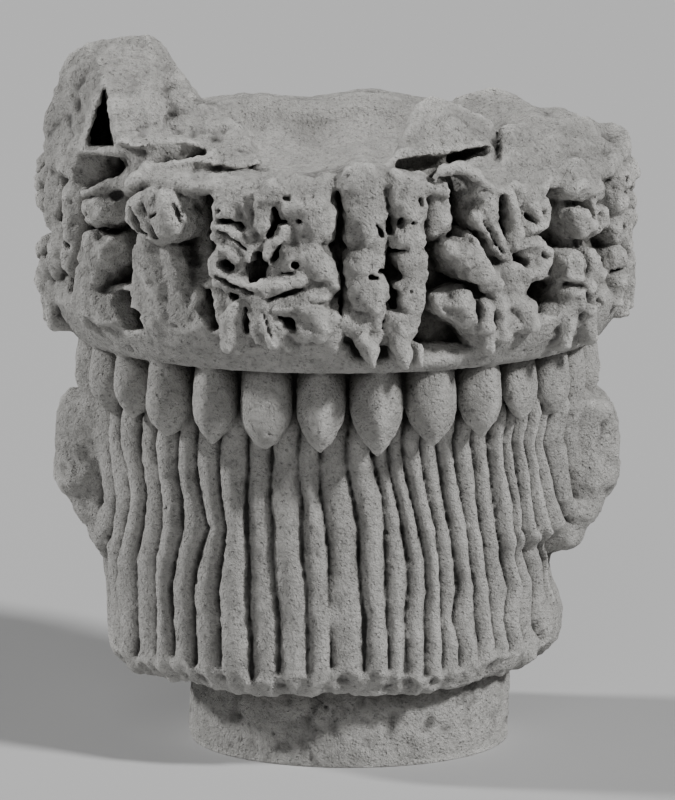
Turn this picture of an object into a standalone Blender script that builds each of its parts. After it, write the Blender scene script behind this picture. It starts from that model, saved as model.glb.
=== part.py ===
"""A weathered limestone column capital, carved from one block.

From the bed upwards: a short broken neck, a ribbed bell with a worn leaf on each side, a ring of hanging
eggs, and a drum carved with plants and stacked rosettes under a broken, hollowed top.

Lengths are in metres and angles in degrees. The origin is in the middle of the flat bed on the drum's
axis, +Z is up, the carved front faces -Y, and an azimuth counts from the front towards +X.
"""

import math

import bmesh
import bpy
from mathutils import Matrix, Vector, noise

# The neck
NECK_RADIUS = 0.163
NECK_OFFSET = 0.012
NECK_HEIGHT = 0.110

# The bell
BELL_FOOT_Z = 0.088
BELL_UNDERSIDE_RISE = 0.022  # the underside is broken away upwards, from the neck out to the ribs
BELL_WAIST_Z = 0.160
BELL_FOOT_RADIUS = 0.223
BELL_WAIST_RADIUS = 0.224
BELL_HEAD_Z = 0.420
BELL_HEAD_RADIUS = 0.242
BELL_SWAY = -0.0115  # the foot stands this far to the left of the drum's axis
BELL_DEPTH_SHARE = 0.90  # the bell is this much shallower, front to back, than it is wide
ROUND_PLAN_Z = (0.300, 0.405)  # between these heights the plan turns round and comes back to the axis

# The ribs on the bell
RIB_DEPTH = 0.009
RIB_SHOWN_START = -82.5
RIB_SHOWN_WIDTHS = (10.9, 9.8, 6.2, 7.5, 6.5, 5.9, 6.1, 6.6, 6.7, 8.5, 5.8, 7.1, 7.2,
                    3.8, 3.8, 4.2, 4.6, 5.2, 4.8, 5.9, 5.8, 4.0, 4.4, 7.4, 11.8)
RIB_HIDDEN_COUNT = 28
RIB_LEAN = 8.5  # how far the right-hand ribs slant over their height
RIB_LEAN_RISE = (-25.0, 22.0)
RIB_LEAN_FALL = (75.0, 110.0)
RIB_BEND = 2.6  # how far the left-hand ribs bow to the right halfway up
RIB_BEND_RISE = (-95.0, -70.0)
RIB_BEND_FALL = (-28.0, -12.0)
RIB_BEND_Z = 0.235
RIB_BEND_HALF_HEIGHT = 0.055
RIB_ROWS = (0.088, 0.120, 0.165, 0.205, 0.245, 0.285, 0.335, 0.420)
RIB_SECTION_SHOWN = ((0.0, 1.0), (0.22, 0.22), (0.50, 0.0), (0.78, 0.22))  # share of width, share of depth
RIB_SECTION_HIDDEN = ((0.0, 1.0), (0.33, 0.05), (0.67, 0.05))
FOOT_ROUGHNESS = 0.006

# The hanging eggs
EGG_COUNT = 28
EGG_START = -3.5
EGG_CENTRE_Z = 0.398
EGG_HALF_SIZES = (0.0235, 0.024, 0.050)
EGG_SINK = 0.002  # how far the eggs' middles lie inside the bell's head
EGG_LEAN = 8.0
BROKEN_EGGS = {-1: 0.6, 4: 0.6, 6: 0.7}  # which eggs are chipped, and the share of their depth that is left

# The drum
FACE_RADIUS = 0.303  # the front of the carving
CARVING_DEPTH = 0.041
GROUND_RADIUS = FACE_RADIUS - CARVING_DEPTH  # the sunk ground behind the carving
BODY_DEPTH = 0.63 * CARVING_DEPTH  # half the thickness of the swelling behind each motif
GROUND_Z = (0.468, 0.590)
CORE_INSET = ((0.030, 0.350), (0.020, 0.397))  # the drum's hidden root: how far inside the bell, and height
OVOLO = ((0.07, 0.412), (0.25, 0.423), (0.61, 0.4405), (0.85, 0.4575))  # share of the way out, and height
RIM_Z = 0.620
RIM_EDGE = ((0.006, 0.020), (0.005, 0.008), (0.015, 0.002))  # how far inside the face, and below the rim
RIM_LAND = 0.018  # the flat between the rim's edge and the hollow
RIM_TILT = 0.030  # the top climbs this much per metre towards the back
HOLLOW_RADIUS = 0.218
HOLLOW_DEPTH = 0.062
HOLLOW_LIP = 0.010
WEATHERING = 0.0028  # how far wear moves the skin of the drum, growing between two heights
WEATHERING_Z = (0.250, 0.560)

# The frieze, from the left of the front round to the right and the back
FRIEZE = (
    "rosettes", "worn plant", "worn shaft", "plant", "worn pair", "plant", "rosettes", "plant",
    "rosettes", "plain plant", "rosettes", "plain plant", "rosettes", "plain plant", "rosettes", "plain plant",
)
FRIEZE_START = -80.0
FRIEZE_DRIFT = 1.8
CALYX_Z = 0.494
CURLS = ((0.040, 0.040), (0.036, 0.092))  # sideways from the stem, and up from the calyx
CURL_RADIUS = 0.0155
STEM_RADIUS = 0.0085
PETALS = ((-44.0, 0.036, 0.014), (-18.0, 0.014, 0.030), (18.0, 0.014, 0.030), (44.0, 0.036, 0.014))
PETAL_HALF_SIZES = (0.0135, 0.017, 0.028)
ROSETTE_Z = (0.493, 0.573)
ROSETTE_PEG_RADIUS = 0.029
ROSETTE_PETALS = 5
ROSETTE_PETAL_REACH = 0.0185
ROSETTE_PETAL_HALF_SIZES = (0.0125, 0.013, 0.0145)
LEAF_TIP_Z = 0.447

# The worn side leaves: hull corners as (out from the bell's waist, to either side, height), and the lobes below
LEAF_CORNERS = (
    (-0.034, 0.078, 0.356), (-0.034, 0.046, 0.190), (0.038, 0.062, 0.360), (0.056, 0.040, 0.352),
    (0.065, 0.030, 0.332), (0.066, 0.026, 0.300), (0.061, 0.026, 0.264), (0.034, 0.030, 0.236),
    (0.010, 0.030, 0.203),
)
LEAF_LOBES = ((0.040, 0.268, 0.024), (0.023, 0.243, 0.021), (0.010, 0.214, 0.019))  # out, height, half size
LEAF_LOBE_HALF_WIDTH = 0.044
FOOT_BOSS = (0.016, 0.116, 0.036)  # the right foot's swelling: how far inside the ribs, height, half thickness
FOOT_BOSS_HALF_SIZES = (0.070, 0.046)

# What is left above the rim: the corners of each broken lump as (x, y, height above the rim), drawn on a drum
# whose face has the radius below
LUMPS_DRAWN_ON = 0.303
STUMP = (
    (-0.290, -0.060, -0.030), (-0.287, -0.100, -0.020), (-0.240, -0.175, -0.030), (-0.176, -0.222, -0.020),
    (-0.205, -0.020, -0.045), (-0.140, -0.090, -0.060), (-0.292, -0.075, 0.032), (-0.278, -0.085, 0.068),
    (-0.262, -0.095, 0.089), (-0.242, -0.105, 0.105), (-0.183, -0.115, 0.111), (-0.168, -0.120, 0.096),
    (-0.144, -0.130, 0.061), (-0.129, -0.135, 0.044), (-0.220, -0.180, 0.048), (-0.172, -0.195, 0.040),
    (-0.190, -0.070, 0.095), (-0.250, -0.060, 0.070),
)
SHOULDER = (
    (-0.195, -0.225, -0.020), (-0.076, -0.235, -0.017), (-0.070, -0.180, -0.040), (-0.125, -0.090, -0.060),
    (-0.167, -0.160, 0.048), (-0.119, -0.140, 0.047), (-0.094, -0.165, 0.037), (-0.080, -0.190, 0.019),
    (-0.073, -0.215, -0.003), (-0.165, -0.220, 0.014), (-0.125, -0.235, 0.010),
)
MIDDLE_LUMP = (
    (0.040, -0.232, -0.020), (0.150, -0.222, -0.020), (0.175, -0.110, -0.045), (0.050, -0.120, -0.060),
    (0.055, -0.220, 0.006), (0.075, -0.175, 0.046), (0.090, -0.170, 0.057), (0.109, -0.160, 0.051),
    (0.139, -0.150, 0.035), (0.153, -0.150, 0.026), (0.147, -0.205, 0.004),
)
RIGHT_SLAB = (
    (0.150, -0.235, -0.030), (0.205, -0.205, -0.030), (0.262, -0.125, -0.030), (0.288, -0.030, -0.030),
    (0.158, -0.150, 0.023), (0.203, -0.120, 0.022), (0.250, -0.060, 0.022), (0.261, -0.050, 0.014),
    (0.283, -0.020, -0.008), (0.160, -0.222, -0.002), (0.215, 0.030, 0.000), (0.250, 0.090, 0.002),
    (0.185, -0.020, -0.050),
)
BACK_LUMP = (
    (0.110, 0.235, -0.020), (0.235, 0.135, -0.020), (0.122, 0.180, 0.016), (0.163, 0.170, 0.027),
    (0.189, 0.170, 0.019), (0.214, 0.130, 0.002), (0.145, 0.115, -0.050), (0.150, 0.225, 0.010),
)
# Round bites out of the rim: x, y, height above the rim, radius
LOST_PIECES = ((-0.035, -0.315, 0.000, 0.030), (-0.230, -0.205, -0.020, 0.030), (0.285, 0.130, -0.010, 0.034))

# How fine the fused crown is
VOXEL = 0.0042
CROWN_TRIANGLES = 5700
MEND_ROUNDS = 6

STONE_COLOUR = (0.44, 0.43, 0.41, 1.0)
STONE_ROUGHNESS = 0.92


def smoothstep(low, high, value):
    share = min(max((value - low) / (high - low), 0.0), 1.0)
    return share * share * (3.0 - 2.0 * share)


def at(azimuth, radius, z):
    """The point at an azimuth, radius and height, on the oval or round plan of that height."""
    turn = math.radians(azimuth)
    roundness = smoothstep(*ROUND_PLAN_Z, z)
    depth = BELL_DEPTH_SHARE + (1.0 - BELL_DEPTH_SHARE) * roundness
    shift = BELL_SWAY * (1.0 - roundness)
    return Vector((shift + radius * math.sin(turn), -radius * math.cos(turn) * depth, z))


def facing(azimuth, radius, z, tilt=0.0, lean=0.0):
    """A matrix at that point with X to the right, -Y outwards and Z up.

    A tilt turns its top clockwise and a lean turns its top outwards.
    """
    turned = Matrix.Rotation(math.radians(azimuth), 4, "Z")
    turned @= Matrix.Rotation(math.radians(tilt), 4, "Y")
    turned @= Matrix.Rotation(math.radians(lean), 4, "X")
    return Matrix.Translation(at(azimuth, radius, z)) @ turned


def bell_radius(z):
    """The radius over the ribs, straight below the waist and flaring above it."""
    if z <= BELL_WAIST_Z:
        share = (z - BELL_FOOT_Z) / (BELL_WAIST_Z - BELL_FOOT_Z)
        return BELL_FOOT_RADIUS + (BELL_WAIST_RADIUS - BELL_FOOT_RADIUS) * share
    share = (z - BELL_WAIST_Z) / (BELL_HEAD_Z - BELL_WAIST_Z)
    return BELL_WAIST_RADIUS + (BELL_HEAD_RADIUS - BELL_WAIST_RADIUS) * share ** 0.8


def link(name, data):
    obj = bpy.data.objects.new(name, data)
    bpy.context.scene.collection.objects.link(obj)
    return obj


def mesh_of(obj):
    """The object's mesh in world space with its modifiers applied; the object itself is removed."""
    bpy.context.view_layer.update()
    evaluated = obj.evaluated_get(bpy.context.evaluated_depsgraph_get())
    mesh = bpy.data.meshes.new_from_object(evaluated)
    mesh.transform(obj.matrix_world)
    bpy.data.objects.remove(obj)
    return mesh


def as_object(name, work):
    """The finished bmesh as an object, its faces turned outwards."""
    bmesh.ops.recalc_face_normals(work, faces=list(work.faces))
    mesh = bpy.data.meshes.new(name)
    work.to_mesh(mesh)
    work.free()
    return link(name, mesh)


def rib_azimuth(azimuth, z):
    """Where a line that is at this azimuth halfway up the bell has wandered to at another height."""
    signed = (azimuth + 180.0) % 360.0 - 180.0
    lean = RIB_LEAN * smoothstep(*RIB_LEAN_RISE, signed) * (1.0 - smoothstep(*RIB_LEAN_FALL, signed))
    bend = RIB_BEND * smoothstep(*RIB_BEND_RISE, signed) * (1.0 - smoothstep(*RIB_BEND_FALL, signed))
    middle = (BELL_FOOT_Z + BELL_HEAD_Z) / 2
    slant = lean * (middle - z) / (BELL_HEAD_Z - BELL_FOOT_Z)
    bow = bend * math.exp(-(((z - RIB_BEND_Z) / RIB_BEND_HALF_HEIGHT) ** 2))
    return azimuth + slant + bow


def rib_columns():
    """Each column of the bell's skin as (azimuth at mid height, share of the groove's depth)."""
    columns = []
    edge = RIB_SHOWN_START
    for width in RIB_SHOWN_WIDTHS:
        columns += [(edge + width * share, depth) for share, depth in RIB_SECTION_SHOWN]
        edge += width
    width = (RIB_SHOWN_START + 360.0 - edge) / RIB_HIDDEN_COUNT
    for count in range(RIB_HIDDEN_COUNT):
        start = edge + width * count
        columns += [(start + width * share, depth) for share, depth in RIB_SECTION_HIDDEN]
    return columns


def bell():
    """The ribbed bell: rings of corners joined up, with a broken lower edge and a hidden head."""
    columns = rib_columns()
    work = bmesh.new()
    rings = []
    for z in RIB_ROWS:
        ring = []
        for azimuth, groove in columns:
            point = at(rib_azimuth(azimuth, z), bell_radius(z) - RIB_DEPTH * groove, z)
            if z == BELL_FOOT_Z:
                point.z += FOOT_ROUGHNESS * noise.noise(point * 28.0)
            ring.append(work.verts.new(point))
        rings.append(ring)
    for low, high in zip(rings, rings[1:]):
        for first in range(len(columns)):
            second = (first + 1) % len(columns)
            work.faces.new((low[first], low[second], high[second], high[first]))
    head = work.verts.new((0.0, 0.0, BELL_HEAD_Z))
    under = work.verts.new((NECK_OFFSET, 0.0, BELL_FOOT_Z - BELL_UNDERSIDE_RISE))
    for first in range(len(columns)):
        second = (first + 1) % len(columns)
        work.faces.new((rings[-1][first], rings[-1][second], head))
        work.faces.new((rings[0][second], rings[0][first], under))
    bmesh.ops.triangulate(work, faces=list(work.faces))
    return as_object("bell", work)


def neck():
    """The stub of the neck under the bell, flat below."""
    work = bmesh.new()
    frame = Matrix.Translation((NECK_OFFSET, 0.0, NECK_HEIGHT / 2))
    frame @= Matrix.Diagonal((1.0, BELL_DEPTH_SHARE, 1.0, 1.0))
    bmesh.ops.create_cone(
        work, cap_ends=True, segments=44, radius1=NECK_RADIUS, radius2=NECK_RADIUS, depth=NECK_HEIGHT,
        matrix=frame,
    )
    return as_object("neck", work)


def quarter_hollow(steps):
    """Profile points of the bowl-shaped top, from its edge down to its middle."""
    points = []
    for step in range(steps):
        turn = math.pi / 2 * step / steps
        drop = HOLLOW_LIP + (HOLLOW_DEPTH - HOLLOW_LIP) * math.sin(turn)
        points.append((HOLLOW_RADIUS * math.cos(turn), RIM_Z - drop))
    points.append((0.0, RIM_Z - HOLLOW_DEPTH))
    return points


def drum_blank():
    """The drum before it was carved: one profile turned with a Screw, its top climbing to the back."""
    outline = [(0.0, CORE_INSET[0][1])]
    outline += [(BELL_HEAD_RADIUS - inset, z) for inset, z in CORE_INSET]
    outline += [(BELL_HEAD_RADIUS + (FACE_RADIUS - BELL_HEAD_RADIUS) * share, z) for share, z in OVOLO]
    outline += [(GROUND_RADIUS, z) for z in GROUND_Z]
    outline += [(FACE_RADIUS - inset, RIM_Z - drop) for inset, drop in RIM_EDGE]
    outline += [(HOLLOW_RADIUS + RIM_LAND, RIM_Z)] + quarter_hollow(6)
    work = bmesh.new()
    # A Screw profile at +X runs down its outer side.
    corners = [work.verts.new((radius, 0.0, z)) for radius, z in reversed(outline)]
    for first, second in zip(corners, corners[1:]):
        work.edges.new((first, second))
    mesh = bpy.data.meshes.new("drum_profile")
    work.to_mesh(mesh)
    work.free()
    obj = link("drum_blank", mesh)
    screw = obj.modifiers.new("Turn", "SCREW")
    screw.steps = 96
    screw.render_steps = 96
    screw.use_merge_vertices = True
    screw.merge_threshold = 0.0001
    turned = mesh_of(obj)
    for vertex in turned.vertices:
        share = smoothstep(RIM_Z - HOLLOW_DEPTH - 0.02, RIM_Z - 0.02, vertex.co.z)
        vertex.co.z += RIM_TILT * vertex.co.y * share
    return turned


def take_in(work, piece):
    """Adds a small bmesh to the large one, which is quicker than making its shape there."""
    mesh = bpy.data.meshes.new("piece")
    piece.to_mesh(mesh)
    piece.free()
    work.from_mesh(mesh)
    bpy.data.meshes.remove(mesh)


def lump(work, frame, half_sizes):
    """An ellipsoid in a frame, for everything rounded by the chisel and the weather."""
    ball = bmesh.new()
    shape = Matrix.Diagonal((*half_sizes, 1.0))
    bmesh.ops.create_uvsphere(ball, u_segments=12, v_segments=7, radius=1.0, matrix=frame @ shape)
    take_in(work, ball)


def hull(work, corners):
    """A broken block of stone: the tight skin around its corners."""
    block = bmesh.new()
    added = [block.verts.new(corner) for corner in corners]
    made = bmesh.ops.convex_hull(block, input=added)
    inside = [item for item in made["geom_unused"] if isinstance(item, bmesh.types.BMVert)]
    bmesh.ops.delete(block, geom=inside, context="VERTS")
    take_in(work, block)


def on_rim(x, y, up):
    """A point drawn for the first drum, placed on this one, so far above its rim."""
    return Vector((x * FACE_RADIUS / LUMPS_DRAWN_ON, y * FACE_RADIUS / LUMPS_DRAWN_ON, RIM_Z + up))


def peg(work, azimuth, z, radius, front):
    """A stout round peg that stands out from the sunk ground and carries a carved detail."""
    root = GROUND_RADIUS - 0.012
    frame = facing(azimuth, (root + front) / 2, z) @ Matrix.Rotation(math.radians(90.0), 4, "X")
    round_peg = bmesh.new()
    bmesh.ops.create_cone(
        round_peg, cap_ends=True, segments=16, radius1=radius, radius2=radius * 0.9, depth=front - root,
        matrix=frame,
    )
    take_in(work, round_peg)


def beside(azimuth, across):
    """The azimuth so far across the carved face from another one."""
    return azimuth + math.degrees(across / FACE_RADIUS)


def rosette(work, azimuth, z, petals):
    """A round flower on a peg: petals around a button."""
    peg(work, azimuth, z, ROSETTE_PEG_RADIUS, FACE_RADIUS - 0.014)
    for count in range(petals):
        turn = 2 * math.pi * count / petals
        side = beside(azimuth, ROSETTE_PETAL_REACH * math.sin(turn))
        height = z + ROSETTE_PETAL_REACH * math.cos(turn)
        lump(work, facing(side, FACE_RADIUS - 0.013, height, math.degrees(turn)), ROSETTE_PETAL_HALF_SIZES)
    lump(work, facing(azimuth, FACE_RADIUS - 0.008, z), (0.0075, 0.0120, 0.0075))


def leaf_tips(work, azimuth):
    """A pair of leaf tips that part downwards over the drum's lower band."""
    for side in (-1, 1):
        turned = beside(azimuth, side * 0.018)
        frame = facing(turned, FACE_RADIUS - 0.022, LEAF_TIP_Z + 0.006, side * -26.0, 30.0)
        lump(work, frame, (0.014, 0.016, 0.030))


def rosettes(work, azimuth):
    """Two rosettes, one above the other, over a pair of leaf tips."""
    for z in ROSETTE_Z:
        rosette(work, azimuth, z, ROSETTE_PETALS)
    lump(work, facing(azimuth, GROUND_RADIUS, sum(ROSETTE_Z) / 2), (0.024, BODY_DEPTH, 0.075))
    leaf_tips(work, azimuth)


def worn_shaft(work, azimuth):
    """A stack whose upper rosette is a worn knob and whose lower one is worn away to a smooth shaft."""
    rosette(work, azimuth, ROSETTE_Z[1], ROSETTE_PETALS)
    lump(work, facing(azimuth, GROUND_RADIUS + 0.010, sum(ROSETTE_Z) / 2, lean=6.0), (0.032, BODY_DEPTH, 0.088))
    lump(work, facing(azimuth, GROUND_RADIUS + 0.006, ROSETTE_Z[0] - 0.030), (0.045, BODY_DEPTH, 0.030))


def worn_pair(work, azimuth):
    """A stack worn into two columns of knobs with a drilled line between them, over its leaf tips."""
    for side, heights in ((-1, (0.582, 0.548, 0.508, 0.478)), (1, (0.588, 0.556, 0.524, 0.494, 0.468))):
        turned = beside(azimuth, side * 0.021)
        for z in heights:
            lump(work, facing(turned, FACE_RADIUS - 0.016, z), (0.0165, 0.020, 0.0215))
        lump(work, facing(turned, GROUND_RADIUS + 0.006, sum(ROSETTE_Z) / 2), (0.018, BODY_DEPTH, 0.080))
    leaf_tips(work, azimuth)


def petals_and_core(work, azimuth):
    """The lower half of a plant: petals that hang from the calyx, and the body behind them."""
    for angle, across, drop in PETALS:
        side = math.copysign(1.0, angle)
        frame = facing(beside(azimuth, side * across), FACE_RADIUS - 0.019, CALYX_Z - drop, -angle, 16.0)
        lump(work, frame, PETAL_HALF_SIZES)
    lump(work, facing(azimuth, FACE_RADIUS - 0.014, CALYX_Z + 0.004), (0.018, 0.018, 0.018))
    lump(work, facing(azimuth, GROUND_RADIUS + 0.002, CALYX_Z + 0.004), (0.044, BODY_DEPTH, 0.052))


def stem_and_curl(azimuth, side, place):
    """A stem that rises from the calyx and rolls over into a curl."""
    across, up = place
    path = []
    rise_steps = 5
    for step in range(rise_steps):
        share = step / rise_steps
        turned = beside(azimuth, side * across * share ** 1.6)
        path.append((at(turned, FACE_RADIUS - 0.011, CALYX_Z + (up - CURL_RADIUS) * share), STEM_RADIUS))
    roll_steps = 8
    for step in range(roll_steps + 1):
        share = step / roll_steps
        turn = math.radians(180.0 - 330.0 * share)
        reel = CURL_RADIUS * (1.0 - 0.5 * share)
        u = across - reel * math.sin(turn)
        z = CALYX_Z + up + reel * math.cos(turn)
        path.append((at(beside(azimuth, side * u), FACE_RADIUS - 0.008, z), STEM_RADIUS * (0.85 - 0.2 * share)))
    return path


def plant(work, azimuth):
    """A whole plant: petals below, two pairs of curled shoots and a bud above. It returns its strokes."""
    petals_and_core(work, azimuth)
    paths = []
    for place in CURLS:
        for side in (-1, 1):
            paths.append(stem_and_curl(azimuth, side, place))
            turned = beside(azimuth, side * place[0])
            peg(work, turned, CALYX_Z + place[1], CURL_RADIUS * 1.1, FACE_RADIUS - 0.016)
    lump(work, facing(azimuth, FACE_RADIUS - 0.016, CALYX_Z + 0.082), (0.0125, 0.018, 0.026))
    return paths


def plain_plant(work, azimuth):
    """A plainer plant for the sides that the photograph does not show."""
    petals_and_core(work, azimuth)
    for across, up in CURLS:
        for side in (-1, 1):
            turned = beside(azimuth, side * across)
            peg(work, turned, CALYX_Z + up, CURL_RADIUS * 1.1, FACE_RADIUS - 0.014)
            lump(work, facing(turned, FACE_RADIUS - 0.014, CALYX_Z + up), (0.014, 0.012, 0.014))
    lump(work, facing(azimuth, FACE_RADIUS - 0.018, CALYX_Z + 0.070), (0.013, 0.018, 0.034))


def worn_plant(work, azimuth):
    """A plant broken down to two rows of knobs under a ledge."""
    knobs = (
        (0.022, 0.585, 0.021, 1.1), (0.024, 0.548, 0.020, 1.1), (0.020, 0.510, 0.024, 1.1),
        (0.012, 0.474, 0.024, 1.1),
        (-0.046, 0.560, 0.020, 1.3), (-0.046, 0.515, 0.022, 1.3), (-0.040, 0.475, 0.022, 1.3),
    )
    for across, z, size, tall in knobs:
        lump(work, facing(beside(azimuth, across), FACE_RADIUS - 0.020, z), (size, 0.024, size * tall))
    lump(work, facing(azimuth, FACE_RADIUS - 0.018, 0.602), (0.050, 0.018, 0.012))


def frieze(work):
    """Plants and rosette stacks around the drum; the stems and curls come back as one curve object."""
    carvers = {
        "rosettes": rosettes,
        "worn shaft": worn_shaft,
        "worn pair": worn_pair,
        "plain plant": plain_plant,
        "worn plant": worn_plant,
    }
    paths = []
    for count, kind in enumerate(FRIEZE):
        turn = 360.0 * count / len(FRIEZE) + FRIEZE_START
        azimuth = turn + FRIEZE_DRIFT * math.sin(math.radians(turn))
        if kind == "plant":
            paths += plant(work, azimuth)
        else:
            carvers[kind](work, azimuth)
    curve = bpy.data.curves.new("shoots", "CURVE")
    curve.dimensions = "3D"
    curve.bevel_depth = 1.0
    curve.bevel_resolution = 2
    curve.use_fill_caps = True
    for path in paths:
        spline = curve.splines.new("POLY")
        spline.points.add(len(path) - 1)
        for knot, (point, radius) in zip(spline.points, path):
            knot.co = (*point, 1.0)
            knot.radius = radius
    return link("shoots", curve)


def eggs(work):
    """The ring of hanging eggs, each leaning out at its foot, a few of them chipped."""
    width, depth, height = EGG_HALF_SIZES
    for count in range(EGG_COUNT):
        signed = count if count <= EGG_COUNT // 2 else count - EGG_COUNT
        left = BROKEN_EGGS.get(signed, 1.0)
        azimuth = EGG_START + 360.0 * count / EGG_COUNT
        frame = facing(azimuth, BELL_HEAD_RADIUS - EGG_SINK, EGG_CENTRE_Z, lean=-EGG_LEAN)
        lump(work, frame, (width, depth * left, height))


def side_leaf(work, side):
    """The worn leaf on one side of the bell, with the curled lobes that hang under its edge."""
    waist = BELL_WAIST_RADIUS
    hull(work, [(side * (waist + out), across * edge, z) for out, across, z in LEAF_CORNERS for edge in (-1, 1)])
    for out, z, half in LEAF_LOBES:
        middle = Matrix.Translation((side * (waist + out), 0.0, z))
        lump(work, middle, (half, LEAF_LOBE_HALF_WIDTH, half * 0.8))


def crown():
    """Everything above and beside the bell, fused by a voxel remesh and then weathered."""
    work = bmesh.new()
    for mesh in (drum_blank(), mesh_of(frieze(work))):
        work.from_mesh(mesh)
        bpy.data.meshes.remove(mesh)
    eggs(work)
    for side in (-1, 1):
        side_leaf(work, side)
    sink, z, half = FOOT_BOSS
    frame = facing(84.0, BELL_WAIST_RADIUS - sink, z)
    lump(work, frame, (FOOT_BOSS_HALF_SIZES[0], half, FOOT_BOSS_HALF_SIZES[1]))
    for corners in (STUMP, SHOULDER, MIDDLE_LUMP, RIGHT_SLAB, BACK_LUMP):
        hull(work, [on_rim(*corner) for corner in corners])
    rough = as_object("rough_crown", work)
    remesh = rough.modifiers.new("Fuse", "REMESH")
    remesh.mode = "VOXEL"
    remesh.voxel_size = VOXEL
    remesh.adaptivity = 0.0
    fused = mesh_of(rough)
    normals = [vertex.normal.copy() for vertex in fused.vertices]
    for vertex, normal in zip(fused.vertices, normals):
        worn = WEATHERING * smoothstep(*WEATHERING_Z, vertex.co.z)
        vertex.co += normal * worn * noise.noise(vertex.co * 32.0)
        for x, y, up, size in LOST_PIECES:
            away = vertex.co - on_rim(x, y, up)
            if away.length < size:
                vertex.co = on_rim(x, y, up) + away.normalized() * size
    return fused


def stone_material():
    material = bpy.data.materials.new("limestone")
    material.use_nodes = True
    shader = material.node_tree.nodes["Principled BSDF"]
    shader.inputs["Base Color"].default_value = STONE_COLOUR
    shader.inputs["Roughness"].default_value = STONE_ROUGHNESS
    shader.inputs["Metallic"].default_value = 0.0
    return material


def joined(base, part):
    """Two objects made one by a Boolean; both of them are used up."""
    union = base.modifiers.new("Join", "BOOLEAN")
    union.operation = "UNION"
    union.solver = "EXACT"
    union.object = part
    bpy.context.view_layer.update()
    tried = base.evaluated_get(bpy.context.evaluated_depsgraph_get())
    if len(tried.data.polygons) < len(base.data.polygons):
        union.solver = "MANIFOLD"  # at some sizes the exact solver gives little or nothing back
    mesh = mesh_of(base)
    bpy.data.objects.remove(part)
    return link("joined", mesh)


def drop_chips(work):
    """Removes every loose chip that a join left beside the main body."""
    waiting = set(work.verts)
    bodies = []
    while waiting:
        front = [waiting.pop()]
        body = set(front)
        while front:
            reached = {edge.other_vert(vertex) for vertex in front for edge in vertex.link_edges}
            front = list(reached - body)
            body |= reached
        waiting -= body
        bodies.append(body)
    main = max(bodies, key=len)
    bmesh.ops.delete(work, geom=[vertex for vertex in work.verts if vertex not in main], context="VERTS")


def mend_pinches(work):
    """Cuts out and fills again the few spots where thinning left two walls that touch."""
    for _ in range(MEND_ROUNDS):
        pinched = [vertex for vertex in work.verts if vertex.is_boundary or not vertex.is_manifold]
        if not pinched:
            return
        faces = {face for vertex in pinched for face in vertex.link_faces}
        bmesh.ops.delete(work, geom=list(faces), context="FACES")
        bmesh.ops.delete(work, geom=[edge for edge in work.edges if edge.is_wire], context="EDGES")
        bmesh.ops.delete(work, geom=[vertex for vertex in work.verts if not vertex.link_faces], context="VERTS")
        rims = [edge for edge in work.edges if edge.is_boundary]
        bmesh.ops.holes_fill(work, edges=rims, sides=0)
        bmesh.ops.triangulate(work, faces=list(work.faces))


def sound(mesh):
    """The same mesh as one closed body of triangles."""
    work = bmesh.new()
    work.from_mesh(mesh)
    bpy.data.meshes.remove(mesh)
    bmesh.ops.triangulate(work, faces=list(work.faces))
    mend_pinches(work)
    drop_chips(work)
    return work


def thinned(mesh, triangles):
    """The mesh as an object, thinned to about this many triangles."""
    obj = link("crown", mesh)
    thin = obj.modifiers.new("Thin", "DECIMATE")
    thin.ratio = min(1.0, triangles / (2.0 * len(mesh.polygons)))
    return as_object("thin_crown", sound(mesh_of(obj)))


def capital():
    """The bell, the neck and the crown as one solid."""
    whole = joined(joined(bell(), neck()), thinned(crown(), CROWN_TRIANGLES))
    made = as_object("capital", sound(mesh_of(whole)))
    bpy.context.scene.collection.objects.unlink(made)
    return made


def build():
    for obj in list(bpy.data.objects):
        bpy.data.objects.remove(obj)
    made = capital()
    made.data.materials.append(stone_material())
    collection = bpy.data.collections.new("limestone_column_capital")
    bpy.context.scene.collection.children.link(collection)
    collection.objects.link(made)


build()
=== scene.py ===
"""The looks of the limestone column capital.

One finely sculpted skin stands in the place of the plain solid. It is carved in a grid of distances, which
is turned into a mesh at the end, so that petals, curls, ribs and breaks run into each other as they do in
one stone. Lengths are in metres, angles in degrees, and an azimuth counts from the front towards +X.
"""

import math

import bmesh
import bpy
import numpy as np
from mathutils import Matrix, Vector

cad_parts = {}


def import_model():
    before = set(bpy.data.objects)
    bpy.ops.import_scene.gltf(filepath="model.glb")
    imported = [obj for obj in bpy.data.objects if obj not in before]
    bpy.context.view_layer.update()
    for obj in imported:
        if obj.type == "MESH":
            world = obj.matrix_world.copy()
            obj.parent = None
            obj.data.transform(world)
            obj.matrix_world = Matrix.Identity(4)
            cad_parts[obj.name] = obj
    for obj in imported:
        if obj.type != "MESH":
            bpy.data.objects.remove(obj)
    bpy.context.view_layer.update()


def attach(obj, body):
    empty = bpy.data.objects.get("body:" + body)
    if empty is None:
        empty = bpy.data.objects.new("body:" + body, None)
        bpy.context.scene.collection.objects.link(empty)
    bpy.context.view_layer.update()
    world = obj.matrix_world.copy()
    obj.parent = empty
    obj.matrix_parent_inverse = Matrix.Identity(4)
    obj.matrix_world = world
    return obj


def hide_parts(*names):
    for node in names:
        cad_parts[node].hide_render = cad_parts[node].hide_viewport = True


# The photograph's view, which the camera repeats and which places the carving
VIEW_TARGET = 0.347
VIEW_DISTANCE = 4.8
VIEW_LIFT = math.radians(10.0)
PHOTO_SIZE = (675, 800)
PHOTO_HEIGHT = 0.812  # the height at the target that the frame takes in
PIXEL = PHOTO_HEIGHT / PHOTO_SIZE[1]

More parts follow.
